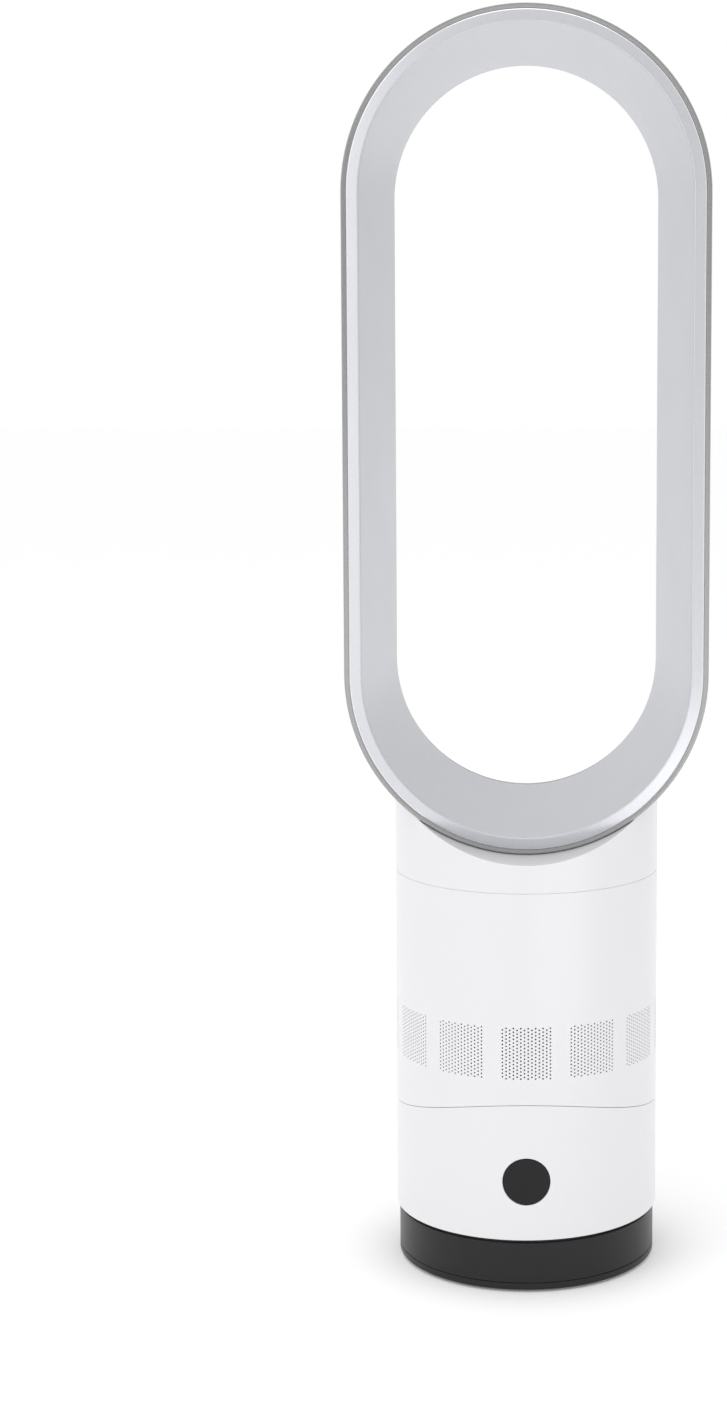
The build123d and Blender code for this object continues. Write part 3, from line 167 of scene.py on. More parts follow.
# ---------------- mesh helpers
def arc(a, b, c, steps):
    """Points of the arc from a through b to c, both ends included."""
    (ax, ay), (bx, by), (cx, cy) = a, b, c
    d = 2 * (ax * (by - cy) + bx * (cy - ay) + cx * (ay - by))
    sa, sb, sc = ax * ax + ay * ay, bx * bx + by * by, cx * cx + cy * cy
    ox = (sa * (by - cy) + sb * (cy - ay) + sc * (ay - by)) / d
    oy = (sa * (cx - bx) + sb * (ax - cx) + sc * (bx - ax)) / d
    radius = sqrt((ax - ox) ** 2 + (ay - oy) ** 2)
    start, middle, end = (atan2(y - oy, x - ox) for x, y in (a, b, c))
    sweep = (end - start) % (2 * pi)
    if (middle - start) % (2 * pi) > sweep:
        sweep -= 2 * pi
    return [
        (ox + radius * cos(start + sweep * k / steps), oy + radius * sin(start + sweep * k / steps))
        for k in range(steps + 1)
    ]


def eased(corners, steps=4):
    """Closed outline with its corners rounded. A corner is (x, y) or (x, y, radius)."""
    outline = []
    for k, corner in enumerate(corners):
        here = Vector(corner[:2])
        radius = corner[2] if len(corner) > 2 else 0
        if not radius:
            outline.append(tuple(here))
            continue
        back = Vector(corners[k - 1][:2]) - here
        ahead = Vector(corners[(k + 1) % len(corners)][:2]) - here
        reach = min(radius, back.length / 2, ahead.length / 2)
        first, last = here + back.normalized() * reach, here + ahead.normalized() * reach
        for step in range(steps + 1):
            s = step / steps
            outline.append(tuple((1 - s) ** 2 * first + 2 * s * (1 - s) * here + s * s * last))
    return outline


def quarter(steps=4):
    """Sine and cosine pairs of a quarter turn."""
    return [(sin(pi / 2 * k / steps), cos(pi / 2 * k / steps)) for k in range(steps + 1)]


def full_turn(steps):
    """Equal turns round a whole circle."""
    return [2 * pi * k / steps for k in range(steps)]


def box_reach(way, half_width, half_height, power=8):
    """Distance from the middle of a box with eased corners to its edge, in one direction."""
    return (abs(cos(way) / half_width) ** power + abs(sin(way) / half_height) ** power) ** (-1 / power)


class Skin:
    """Points and faces of one piece, gathered before its mesh is made."""

    def __init__(self):
        self.points = []
        self.faces = []
        self.finishes = []

    def point(self, x, y, z):
        self.points.append((x, y, z))
        return len(self.points) - 1

    def polar(self, angle, radius, z):
        """A point by its turn from the front, its distance from the axis and its height."""
        return self.point(radius * sin(angle), -radius * cos(angle), z)

    def face(self, *corners, finish=0):
        self.faces.append(corners)
        self.finishes.append(finish)

    def strip(self, first, second, finish=0):
        """Quads between two closed rows of points of equal length."""
        for k in range(len(first)):
            n = (k + 1) % len(first)
            self.face(first[k], first[n], second[n], second[k], finish=finish)

    def loft(self, rows, closed=True, finish_of=None):
        """Quads over rows of points, joined in a ring where closed."""
        for k in range(len(rows) if closed else len(rows) - 1):
            self.strip(rows[k], rows[(k + 1) % len(rows)], finish=finish_of(k) if finish_of else 0)

    def cap(self, rows):
        """Faces that close the two ends of a loft."""
        self.face(*rows[0])
        self.face(*rows[-1])

    def lathe(self, outline, steps=128):
        """A closed outline of (radius, height) turned about the vertical axis."""
        self.loft([[self.polar(angle, r, z) for angle in full_turn(steps)] for r, z in outline])

    def piece(self, name, body, nodes, slot, finishes=(), crease=35):
        """Makes the mesh object, gives it its finishes, parents it to its CAD body and hides the CAD nodes it
        stands in for.

        It has the finish that its slot names, unless other finishes are given."""
        mesh = bpy.data.meshes.new(name)
        mesh.from_pydata(self.points, [], self.faces)
        for finish in finishes or (slot,):
            mesh.materials.append(FINISHES[finish])
        mesh.polygons.foreach_set("material_index", self.finishes)
        shape = bmesh.new()
        shape.from_mesh(mesh)
        bmesh.ops.recalc_face_normals(shape, faces=shape.faces)
        shape.to_mesh(mesh)
        shape.free()
        mesh.shade_smooth()
        mesh.set_sharp_from_angle(angle=radians(crease))
        made = bpy.data.objects.new(name, mesh)
        bpy.context.scene.collection.objects.link(made)
        shading = made.modifiers.new("Even shading", "WEIGHTED_NORMAL")
        shading.keep_sharp = True
        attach(made, body)
        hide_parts(*nodes)
        return made


class Wall(Skin):
    """A tube wall: rows of points round the axis that close on themselves, with openings through it."""

    def __init__(self, angles, rows):
        super().__init__()
        self.angles = angles
        self.rows = rows
        self.known = {}
        self.cut = set()

    def at(self, row, column):
        """The point at a row and column, made when it is first asked for."""
        key = (row % len(self.rows), column % len(self.angles))
        if key not in self.known:
            angle = self.angles[key[1]]
            self.known[key] = self.polar(angle, *self.rows[key[0]](angle))
        return self.known[key]

    def close(self):
        """Fills every quad that no opening has taken."""
        for row in range(len(self.rows)):
            for column in range(len(self.angles)):
                if (row, column) not in self.cut:
                    self.face(
                        self.at(row, column), self.at(row, column + 1),
                        self.at(row + 1, column + 1), self.at(row + 1, column),
                    )

    def border(self, row, column, height, width):
        """Row and column of the points round a block, from its first corner."""
        low = [(row, column + k) for k in range(width)]
        right = [(row + k, column + width) for k in range(height)]
        high = [(row + height, column + width - k) for k in range(width)]
        left = [(row + height - k, column) for k in range(height)]
        return low + right + high + left

    def open_block(self, row, column, height, width):
        """Marks a block of quads as taken by an opening."""
        for r in range(row, row + height):
            for c in range(column, column + width):
                self.cut.add((r % len(self.rows), c % len(self.angles)))


# ---------------- finishes
def add_node(tree, kind, **settings):
    node = tree.nodes.new("ShaderNode" + kind)
    for name, value in settings.items():
        setattr(node, name, value)
    return node


def set_inputs(node, **values):
    """Gives plain values to the named inputs of a node."""
    for name, value in values.items():
        node.inputs[name.replace("_", " ")].default_value = value


def feed(tree, socket, value):
    """Links a source to a socket, or gives the socket a plain value."""
    if hasattr(value, "links"):
        tree.links.new(value, socket)
    else:
        socket.default_value = value


def connect(tree, node, **values):
    """Feeds the named inputs of a node."""
    for name, value in values.items():
        feed(tree, node.inputs[name.replace("_", " ")], value)
    return node


def maths(tree, operation, first, second):
    node = add_node(tree, "Math", operation=operation)
    feed(tree, node.inputs[0], first)
    feed(tree, node.inputs[1], second)
    return node.outputs[0]


def blend_colours(tree, factor, first, second, kind="MIX"):
    """A colour mix. Its colour sockets share their names with others, so they go by number."""
    node = add_node(tree, "Mix", data_type="RGBA", blend_type=kind)
    for number, value in ((0, factor), (6, first), (7, second)):
        feed(tree, node.inputs[number], value)
    return node.outputs[2]


def new_group(name, inputs, outputs):
    """An effect group: its tree, what it is given, and its end node. Outputs are numbers, but for Colour."""
    tree = bpy.data.node_groups.new(name, "ShaderNodeTree")
    for label, default in inputs.items():
        kind = "NodeSocketColor" if isinstance(default, tuple) else "NodeSocketFloat"
        tree.interface.new_socket(label, in_out="INPUT", socket_type=kind).default_value = default
    for label in outputs:
        kind = "NodeSocketColor" if label == "Colour" else "NodeSocketFloat"
        tree.interface.new_socket(label, in_out="OUTPUT", socket_type=kind)
    return tree, tree.nodes.new("NodeGroupInput").outputs, tree.nodes.new("NodeGroupOutput")


def object_noise(tree, scale, detail=2.0, stretch=None):
    """Noise in the piece's own metres, at a scale that a number or a socket gives."""
    place = add_node(tree, "TexCoord").outputs["Object"]
    if stretch:
        mapping = connect(tree, add_node(tree, "Mapping"), Vector=place, Scale=stretch)
        place = mapping.outputs["Vector"]
    noise = add_node(tree, "TexNoise")
    return connect(tree, noise, Vector=place, Scale=scale, Detail=detail).outputs["Fac"]


def moulded_skin():
    """Effect: the fine grain and slow flow of a moulded or painted surface."""
    tree, given, end = new_group(
        "Moulded skin",
        {"Colour": (0.8, 0.8, 0.8, 1), "Shade": (0.7, 0.7, 0.7, 1), "Shade amount": 0.3, "Roughness": 0.4,
         "Roughness spread": 0.1, "Grain scale": 1800.0, "Flow scale": 40.0, "Flow height": 0.5},
        ("Colour", "Roughness", "Height"),
    )
    grain = object_noise(tree, given["Grain scale"], 3.0)
    flow = object_noise(tree, given["Flow scale"], 1.5)
    amount = maths(tree, "MULTIPLY", flow, given["Shade amount"])
    tone = blend_colours(tree, amount, given["Colour"], given["Shade"])
    swing = maths(tree, "SUBTRACT", maths(tree, "ADD", grain, flow), 1.0)
    spread = maths(tree, "MULTIPLY", swing, given["Roughness spread"])
    rough = maths(tree, "ADD", given["Roughness"], spread)
    height = maths(tree, "ADD", grain, maths(tree, "MULTIPLY", flow, given["Flow height"]))
    connect(tree, end, Colour=tone, Roughness=rough, Height=height)
    return tree


def rubbed_edges():
    """Effect: edges rubbed to another tone, broken up by noise."""
    tree, given, end = new_group(
        "Rubbed edges",
        {"Colour": (0.8, 0.8, 0.8, 1), "Rubbed": (0.9, 0.9, 0.9, 1), "Amount": 0.3, "Break up scale": 400.0},
        ("Colour",),
    )
    point = add_node(tree, "NewGeometry").outputs["Pointiness"]
    ramp = add_node(tree, "MapRange", clamp=True)
    set_inputs(ramp, From_Min=0.52, From_Max=0.62)
    connect(tree, ramp, Value=point)
    broken = object_noise(tree, given["Break up scale"])
    mask = maths(tree, "MULTIPLY", ramp.outputs["Result"], broken)
    mask = maths(tree, "MULTIPLY", mask, given["Amount"])
    connect(tree, end, Colour=blend_colours(tree, mask, given["Colour"], given["Rubbed"]))
    return tree


def settled_dust():
    """Effect: a thin film of dust on what faces up."""
    tree, given, end = new_group(
        "Settled dust",
        {"Colour": (0.1, 0.1, 0.1, 1), "Dust": (0.5, 0.48, 0.45, 1), "Amount": 0.1, "Roughness": 0.4},
        ("Colour", "Roughness"),
    )
    facing = add_node(tree, "SeparateXYZ")
    tree.links.new(add_node(tree, "TexCoord").outputs["Normal"], facing.inputs[0])
    up = maths(tree, "MAXIMUM", facing.outputs["Z"], 0.0)
    patchy = maths(tree, "MULTIPLY", up, object_noise(tree, 160.0, 4.0))
    mask = maths(tree, "MULTIPLY", patchy, given["Amount"])
    dusty = blend_colours(tree, mask, given["Colour"], given["Dust"])
    dull = maths(tree, "ADD", given["Roughness"], maths(tree, "MULTIPLY", mask, 0.6))
    connect(tree, end, Colour=dusty, Roughness=dull)
    return tree


def cell_pattern(tree, scale, **settings):
    """Cells in the piece's own metres."""
    place = add_node(tree, "TexCoord").outputs["Object"]
    return connect(tree, add_node(tree, "TexVoronoi", **settings), Vector=place, Scale=scale)


def metal_flake():
    """Effect: the fine bright and dark flakes of metallic paint."""
    tree, given, end = new_group(
        "Metal flake",
        {"Colour": (0.6, 0.6, 0.6, 1), "Amount": 0.1, "Flake scale": 3500.0},
        ("Colour", "Height"),
    )
    cells = cell_pattern(tree, given["Flake scale"])
    level = add_node(tree, "SeparateColor")
    tree.links.new(cells.outputs["Color"], level.inputs[0])
    tone = maths(tree, "MULTIPLY", maths(tree, "SUBTRACT", level.outputs[0], 0.5), given["Amount"])
    brighter = maths(tree, "ADD", tone, 1.0)
    grey = add_node(tree, "CombineColor")
    for socket in grey.inputs:
        tree.links.new(brighter, socket)
    flecked = blend_colours(tree, 1.0, given["Colour"], grey.outputs[0], "MULTIPLY")
    connect(tree, end, Colour=flecked, Height=level.outputs[1])
    return tree


def drawn_lines():
    """Effect: the fine lines that drawing or turning leaves in metal."""
    tree, given, end = new_group(
        "Drawn lines",
        {"Colour": (0.6, 0.6, 0.6, 1), "Dark": (0.4, 0.4, 0.4, 1), "Roughness": 0.3, "Roughness spread": 0.2},
        ("Colour", "Roughness", "Height"),
    )
    lines = object_noise(tree, 900.0, 3.0, stretch=(0.08, 0.08, 4.0))
    tone = blend_colours(tree, lines, given["Colour"], given["Dark"])
    spread = maths(tree, "MULTIPLY", lines, given["Roughness spread"])
    rough = maths(tree, "ADD", given["Roughness"], spread)
    connect(tree, end, Colour=tone, Roughness=rough, Height=lines)
    return tree


def board_tracks():
    """Effect: copper tracks under a board's lacquer."""
    tree, given, end = new_group(
        "Board tracks",
        {"Lacquer": (0.05, 0.2, 0.1, 1), "Track": (0.12, 0.4, 0.18, 1), "Track scale": 260.0},
        ("Colour", "Height"),
    )
    cells = cell_pattern(tree, given["Track scale"], distance="MANHATTAN", feature="F1")
    set_inputs(cells, Randomness=0.6)
    edge = add_node(tree, "MapRange", clamp=True)
    set_inputs(edge, From_Min=0.35, From_Max=0.4)
    connect(tree, edge, Value=cells.outputs["Distance"])
    tone = blend_colours(tree, edge.outputs[0], given["Lacquer"], given["Track"])
    connect(tree, end, Colour=tone, Height=edge.outputs[0])
    return tree


EFFECTS = {}
FINISHES = {}


def rgba(value, factor=1.0):
    return (*(min(1.0, c * factor) for c in value), 1.0)


def place_effect(tree, effect, **values):
    """One of the effect groups in a material, with its own values."""
    return connect(tree, add_node(tree, "Group", node_tree=EFFECTS[effect]), **values)


def new_finish(name, metallic=0.0, coat=0.0, coat_roughness=0.1, specular=0.5):
    """An empty material with its shader's uniform numbers set, and the shader."""
    material = bpy.data.materials.new(name)
    material.use_nodes = True
    shader = material.node_tree.nodes["Principled BSDF"]
    set_inputs(shader, Metallic=metallic, IOR=1.5, Specular_IOR_Level=specular)
    set_inputs(shader, Coat_Weight=coat, Coat_Roughness=coat_roughness)
    FINISHES[name] = material
    return material.node_tree, shader


def raise_bumps(tree, shader, height, depth):
    """Puts a height on the shader's surface, depth metres from its lowest to its highest."""
    bump = add_node(tree, "Bump")
    set_inputs(bump, Distance=depth, Strength=1.0)
    connect(tree, bump, Height=height)
    connect(tree, shader, Normal=bump.outputs["Normal"])


def plastic(name, base, rough, spread=0.08, shade=0.94, grain=1800.0, flow=40.0, flow_height=0.4,
            depth=0.00001, rubbed=1.1, rub=0.3, dust=0.0, **shader_values):
    """A moulded plastic or rubber finish."""
    tree, shader = new_finish(name, **shader_values)
    skin = place_effect(
        tree, "skin", Colour=rgba(base), Shade=rgba(base, shade), Shade_amount=0.5, Roughness=rough,
        Roughness_spread=spread, Grain_scale=grain, Flow_scale=flow, Flow_height=flow_height,
    )
    edges = place_effect(tree, "edges", Colour=skin.outputs["Colour"], Rubbed=rgba(base, rubbed), Amount=rub)
    top, sheen = edges.outputs["Colour"], skin.outputs["Roughness"]
    if dust:
        film = place_effect(tree, "dust", Colour=top, Amount=dust, Roughness=sheen)
        top, sheen = film.outputs["Colour"], film.outputs["Roughness"]
    connect(tree, shader, Base_Color=top, Roughness=sheen)
    raise_bumps(tree, shader, skin.outputs["Height"], depth)


def silver_paint(name, base, rough, flake=0.1, metallic=0.75):
    """Satin metallic paint over moulded plastic."""
    tree, shader = new_finish(name, metallic=metallic, coat=0.15, coat_roughness=0.25)
    skin = place_effect(
        tree, "skin", Colour=rgba(base), Shade=rgba(base, 0.965), Shade_amount=0.6, Roughness=rough,
        Roughness_spread=0.06, Grain_scale=2400.0, Flow_scale=26.0, Flow_height=0.3,
    )
    edges = place_effect(tree, "edges", Colour=skin.outputs["Colour"], Rubbed=rgba(base, 1.12), Amount=0.35)
    flakes = place_effect(tree, "flake", Colour=edges.outputs["Colour"], Amount=flake)
    connect(tree, shader, Base_Color=flakes.outputs["Colour"], Roughness=skin.outputs["Roughness"])
    both = maths(tree, "ADD", skin.outputs["Height"], flakes.outputs["Height"])
    raise_bumps(tree, shader, both, 0.000004)


def bare_metal(name, base, dark, rough, spread, depth):
    """Turned, drawn or cast metal."""
    tree, shader = new_finish(name, metallic=1.0)
    lines = place_effect(
        tree, "lines", Colour=rgba(base), Dark=rgba(dark), Roughness=rough, Roughness_spread=spread
    )
    edges = place_effect(tree, "edges", Colour=lines.outputs["Colour"], Rubbed=rgba(base, 1.2), Amount=0.6)
    connect(tree, shader, Base_Color=edges.outputs["Colour"], Roughness=lines.outputs["Roughness"])
    raise_bumps(tree, shader, lines.outputs["Height"], depth)


def circuit_board(name, base):
    """Lacquered board with its tracks."""
    tree, shader = new_finish(name, coat=0.4)
    tracks = place_effect(tree, "tracks", Lacquer=rgba(base), Track=rgba(base, 1.9))
    skin = place_effect(tree, "skin", Colour=tracks.outputs["Colour"], Shade=rgba(base, 0.8), Roughness=0.35)
    connect(tree, shader, Base_Color=skin.outputs["Colour"], Roughness=skin.outputs["Roughness"])
    raise_bumps(tree, shader, tracks.outputs["Height"], 0.00003)


class FAN_OT_mix_finishes(Operator):
    """Make the effect groups and every finish of the fan"""

    bl_idname = "fan.mix_finishes"
    bl_label = "Mix finishes"

    def execute(self, context):
        for name, make in (("skin", moulded_skin), ("edges", rubbed_edges), ("dust", settled_dust),
                           ("flake", metal_flake), ("lines", drawn_lines), ("tracks", board_tracks)):
            EFFECTS[name] = make()
        colours = context.scene.fan_colours
        plastic("white_gloss", colours.white, 0.30, spread=0.05, shade=0.975, flow=30.0, flow_height=1.5,
                depth=0.000006, rubbed=1.06, coat=0.25, coat_roughness=0.12)
        silver_paint("satin_silver", colours.silver, 0.36)
        # a lighter copy of the satin silver: painted light on the front bevel
        silver_paint("painted_light_bevel_silver", colours.bevel, 0.33)
        # a darker, more metallic copy of the satin silver: painted shade on the loop's outer case
        silver_paint("painted_shade_case_silver", colours.shaded_case, 0.22, flake=0.05, metallic=0.95)
        # a near-white copy of the silver paint: a painted highlight for the bright line along the bevel's edge
        silver_paint("painted_highlight_silver", (0.88, 0.88, 0.89), 0.22, flake=0.03, metallic=0.9)
        plastic("black_satin", colours.black, 0.34, spread=0.08, shade=0.8, grain=1500.0, depth=0.000012,
                rubbed=2.2, rub=0.35, dust=0.02, specular=0.28)
        plastic("black_key", colours.key, 0.42, spread=0.06, shade=0.85, grain=2600.0, depth=0.000008,
                rubbed=1.8, rub=0.4, specular=0.24)
        plastic("rubber", (0.05, 0.05, 0.052), 0.72, spread=0.12, shade=0.7, grain=900.0, depth=0.00003,
                rubbed=1.6, dust=0.1)
        plastic("grey_plastic", (0.26, 0.27, 0.28), 0.52, spread=0.1, shade=0.9, grain=1400.0, depth=0.00002)
        plastic("white_acetal", (0.76, 0.76, 0.73), 0.38, spread=0.08, shade=0.95, grain=2000.0)
        plastic("impeller_plastic", (0.10, 0.10, 0.11), 0.46, spread=0.12, shade=0.75, grain=700.0,
                depth=0.00002)
        bare_metal("steel", (0.60, 0.60, 0.60), (0.48, 0.48, 0.49), 0.24, spread=0.2, depth=0.000005)
        bare_metal("cast_iron", (0.20, 0.20, 0.21), (0.12, 0.12, 0.12), 0.55, spread=0.25, depth=0.00004)
        circuit_board("circuit_board", (0.05, 0.20, 0.09))
        for name, node in frame["nodes"].items():
            node.data.materials.clear()
            node.data.materials.append(FINISHES[SLOT_OF[name]])
        return {"FINISHED"}


# ---------------- white body
SHELF_OVERLAP = 0.1 * MM
LEVELS_PER_HOLE = 4
COLUMNS_PER_HOLE = 2
HOLE_SIDES = 12


def seam_height(drum_radius, y):
    """Height of the tilt seam at a depth y: a drum about the tilt axis."""
    return TILT_Z - sqrt(drum_radius**2 - y * y)


def wall_rows(radius, inner, edge, low, high, levels):
    """Rows of a tube wall, up the outside and down the inside.

    low and high give the end heights for a radius and an angle. levels are the fixed heights
    between them. Also returns the number of the first outer and first inner level row."""
    rows = []
    for s, c in reversed(quarter()):
        out = radius - edge + edge * c
        rows.append(lambda a, s=s, out=out: (out, low(out, a) + edge - edge * s))
    for share in (0.33, 0.66):
        rows.append(lambda a, k=share: (radius, (1 - k) * (low(radius, a) + edge) + k * levels[0]))
    outer_row = len(rows)
    rows += [lambda a, z=z: (radius, z) for z in levels]
    for share in (0.33, 0.66):
        rows.append(lambda a, k=share: (radius, (1 - k) * levels[-1] + k * (high(radius, a) - edge)))
    for s, c in quarter():
        out = radius - edge + edge * c
        rows.append(lambda a, s=s, out=out: (out, high(out, a) - edge + edge * s))
    rows.append(lambda a: (inner, high(inner, a)))
    inner_row = len(rows)
    rows += [lambda a, z=z: (inner, z) for z in reversed(levels)]
    rows.append(lambda a: (inner, low(inner, a)))
    return rows, outer_row, inner_row


def add_shelf(wall, hole, inner, low, high):
    """A flat ring inside a tube wall, joined to it, with a round hole."""
    out = inner + SHELF_OVERLAP
    wall.lathe([(hole, low), (out, low), (out, high), (hole, high)])


class FAN_OT_build_housing(Operator):
    """Build the main housing with its perforated air intakes"""

    bl_idname = "fan.build_housing"
    bl_label = "Main housing"

    def execute(self, context):
        sizes = context.scene.fan_sizes
        radius, inner = sizes.body_radius, sizes.body_radius - sizes.wall
        drum = DRUM_RADIUS - sizes.seam / 2
        quarter_row = sizes.row_pitch / LEVELS_PER_HOLE
        start = sizes.patch_z - sizes.rows * sizes.row_pitch / 2
        levels = [start + k * quarter_row for k in range(LEVELS_PER_HOLE * sizes.rows + 1)]
        half_column = sizes.column_pitch / 2
        patch_width = sizes.columns * sizes.column_pitch
        angles, patches = [], []
        for patch in range(sizes.patch_count):
            first = (patch - (sizes.patch_count - 1) / 2) * sizes.patch_pitch - patch_width / 2
            patches.append(len(angles))
            angles += [first + k * half_column for k in range(COLUMNS_PER_HOLE * sizes.columns + 1)]
            if patch < sizes.patch_count - 1:
                gap = sizes.patch_pitch - patch_width
                angles += [first + patch_width + gap * k / 4 for k in range(1, 4)]
        last, rear, rear_steps = angles[-1], angles[0] + 2 * pi - angles[-1], 24
        angles += [last + rear * k / rear_steps for k in range(1, rear_steps)]
        rows, outer_row, inner_row = wall_rows(
            radius, inner, sizes.edge,
            lambda r, a: seam_height(drum, r * cos(a)), lambda r, a: HOUSING_HIGH.z, levels,
        )
        wall = Wall(angles, rows)
        last_inner = inner_row + len(levels) - 1
        for first_column in patches:
            for k in range(sizes.columns):
                column = first_column + COLUMNS_PER_HOLE * k
                # every other column is half a row higher, and one hole shorter
                offset, holes = (LEVELS_PER_HOLE // 2, sizes.rows - 1) if k % 2 == 0 else (0, sizes.rows)
                for hole in range(holes):
                    level = offset + LEVELS_PER_HOLE * hole
                    self.drill(wall, sizes, outer_row, last_inner, level, column, levels)
        wall.close()
        # one over the intakes, for the fan unit, and one under the neck
        add_shelf(wall, hole=64 * MM, inner=inner, low=149.5 * MM, high=152 * MM)
        top = HOUSING_HIGH.z
        add_shelf(wall, hole=61 * MM, inner=inner, low=top - 3.2 * MM, high=top - 0.1 * MM)
        wall.piece("housing_skin", "main_body", ["main_housing"], "white_gloss")
        return {"FINISHED"}

    def drill(self, wall, sizes, outer_row, last_inner, level, column, levels):
        """One round hole through the wall, in the middle of its block of quads."""
        block = LEVELS_PER_HOLE, COLUMNS_PER_HOLE
        angle, height = wall.angles[column + COLUMNS_PER_HOLE // 2], levels[level + LEVELS_PER_HOLE // 2]
        # a ring starts at the lower left, where the block's border starts
        around = [pi * (8 + k) / 6 for k in range(HOLE_SIDES)]
        border = wall.border(level, column, *block)
        reach, outside, inside = sizes.hole / 2, sizes.body_radius, sizes.body_radius - sizes.wall
        rings = []
        for rim, row_of in ((outside, lambda m: outer_row + m), (inside, lambda m: last_inner - m)):
            ring = [wall.polar(angle + reach * cos(t) / rim, rim, height + reach * sin(t)) for t in around]
            wall.strip([wall.at(row_of(m), c) for m, c in border], ring)
            rings.append(ring)
        wall.strip(*rings)
        wall.open_block(outer_row + level, column, *block)
        wall.open_block(last_inner - level - LEVELS_PER_HOLE, column, *block)


def window(wall, outer_row, inner_row, column, centre, shape, radii, edge, levels):
    """An opening through a tube wall, in a square block of quads as high as the levels.

    shape gives the distance from its centre to its rim in each direction, and edge the rounding
    of that rim outside."""
    angle, middle = centre
    span = len(levels) - 1
    border = wall.border(0, column, span, span)
    outlines, ways = [], []
    for rim, row_of in ((radii[0], lambda m: outer_row + m), (radii[1], lambda m: inner_row + span - m)):
        grow = edge if rim == radii[0] else 0.0
        edge_row, spots = [], []
        for m, c in border:
            side = (wall.angles[c % len(wall.angles)] - angle + pi) % (2 * pi) - pi
            spots.append((side, levels[m] - middle))
            edge_row.append(wall.at(row_of(m), c))
        rows = [edge_row]
        for share in (0.75, 0.5, 0.25, 0.0):
            row = []
            for side, up in spots:
                way = atan2(up, rim * side)
                reach = shape(way) + grow
                across = side * share + reach * cos(way) / rim * (1 - share)
                rise = up * share + reach * sin(way) * (1 - share)
                row.append(wall.polar(angle + across, rim, middle + rise))
            rows.append(row)
        wall.loft(rows, closed=False)
        outlines.append(rows[-1])
        ways = ways or [atan2(up, rim * side) for side, up in spots]
    last = outlines[0]
    for s, c in quarter()[1:]:
        row = []
        for way in ways:
            reach = shape(way) + edge - edge * s
            rim = radii[0] - edge + edge * c
            row.append(wall.polar(angle + reach * cos(way) / rim, rim, middle + reach * sin(way)))
        wall.strip(last, row)
        last = row
    wall.strip(last, outlines[1])
    wall.open_block(outer_row, column, span, span)
    wall.open_block(inner_row, column, span, span)


class FAN_OT_build_skirt(Operator):
    """Build the lower housing with the power key's round opening"""

    bl_idname = "fan.build_skirt"
    bl_label = "Lower housing"

    def execute(self, context):
        sizes = context.scene.fan_sizes
        radius, inner = sizes.body_radius, sizes.body_radius - sizes.wall
        drum = DRUM_RADIUS + sizes.seam / 2
        key_z = (KEY_LOW.z + KEY_HIGH.z) / 2
        step, blocks = 2.5 * MM, 16
        low = key_z - step * blocks / 2
        levels = [low + k * step for k in range(blocks + 1)]
        rows, outer_row, inner_row = wall_rows(
            radius, inner, sizes.edge,
            lambda r, a: SKIRT_LOW.z, lambda r, a: seam_height(drum, r * cos(a)), levels,
        )
        wall = Wall(full_turn(180), rows)
        hole = sizes.key_radius + sizes.key_gap
        window(
            wall, outer_row, inner_row, -blocks // 2, (0.0, key_z), lambda way: hole,
            (radius, inner), edge=0.25 * MM, levels=levels,
        )
        wall.close()
        add_shelf(wall, hole=18 * MM, inner=inner, low=32.2 * MM, high=35 * MM)
        wall.piece("skirt_skin", "lower_body", ["lower_housing"], "white_gloss")
        return {"FINISHED"}


class FAN_OT_build_neck(Operator):
    """Build the neck, scooped to cradle the loop"""

    bl_idname = "fan.build_neck"
    bl_label = "Neck"

    def execute(self, context):
        sizes = context.scene.fan_sizes
        radius, edge, low = sizes.body_radius, sizes.edge, NECK_LOW.z
        saddle = LOOP_RADIUS + 0.1 * MM
        spigot, spigot_depth = radius - 0.25 * MM, 0.25 * MM
        duct_half_width, duct_half_depth = 32 * MM, 26 * MM
        skin, inner = sizes.wall, radius - sizes.wall

        def scoop(r, a):
            """Height of the scoop that the loop stands in."""
            return SPINE_FOOT - sqrt(saddle**2 - (r * sin(a)) ** 2)

        def duct(a):
            """Distance from the axis to the duct's wall."""
            return box_reach(a, duct_half_depth, duct_half_width, power=6)

        def blend(a, first, second, k, drop=0.0):
            """A point of the scoop, a share k of the way from one radius to another."""
            r = (1 - k) * first + k * second
            return r, scoop(r, a) - drop

        rows = [lambda a: (spigot, low - spigot_depth), lambda a: (spigot, low)]
        for s, c in quarter():
            rows.append(lambda a, s=s, c=c: (radius - edge / 2 + edge / 2 * s, low + edge / 2 - edge / 2 * c))
        foot = low + edge / 2
        for share in (0.2, 0.4, 0.6, 0.8):
            rows.append(lambda a, k=share: (radius, (1 - k) * foot + k * (scoop(radius, a) - edge)))
        for s, c in quarter():
            out = radius - edge + edge * c
            rows.append(lambda a, s=s, out=out: (out, scoop(out, a) - edge + edge * s))
        rows += [lambda a, k=k: blend(a, radius - edge, duct(a), k / 12) for k in range(1, 13)]
        rows += [lambda a: (duct(a), low + skin), lambda a: (duct(a) + skin, low + skin)]
        rows += [lambda a, k=k: blend(a, duct(a) + skin, inner, k / 6, drop=skin) for k in range(7)]
        rows += [lambda a: (inner, low), lambda a: (inner, low - spigot_depth)]
        wall = Wall(full_turn(256), rows)
        wall.close()
        wall.piece("neck_skin", "main_body", ["neck_collar"], "white_gloss")
        return {"FINISHED"}


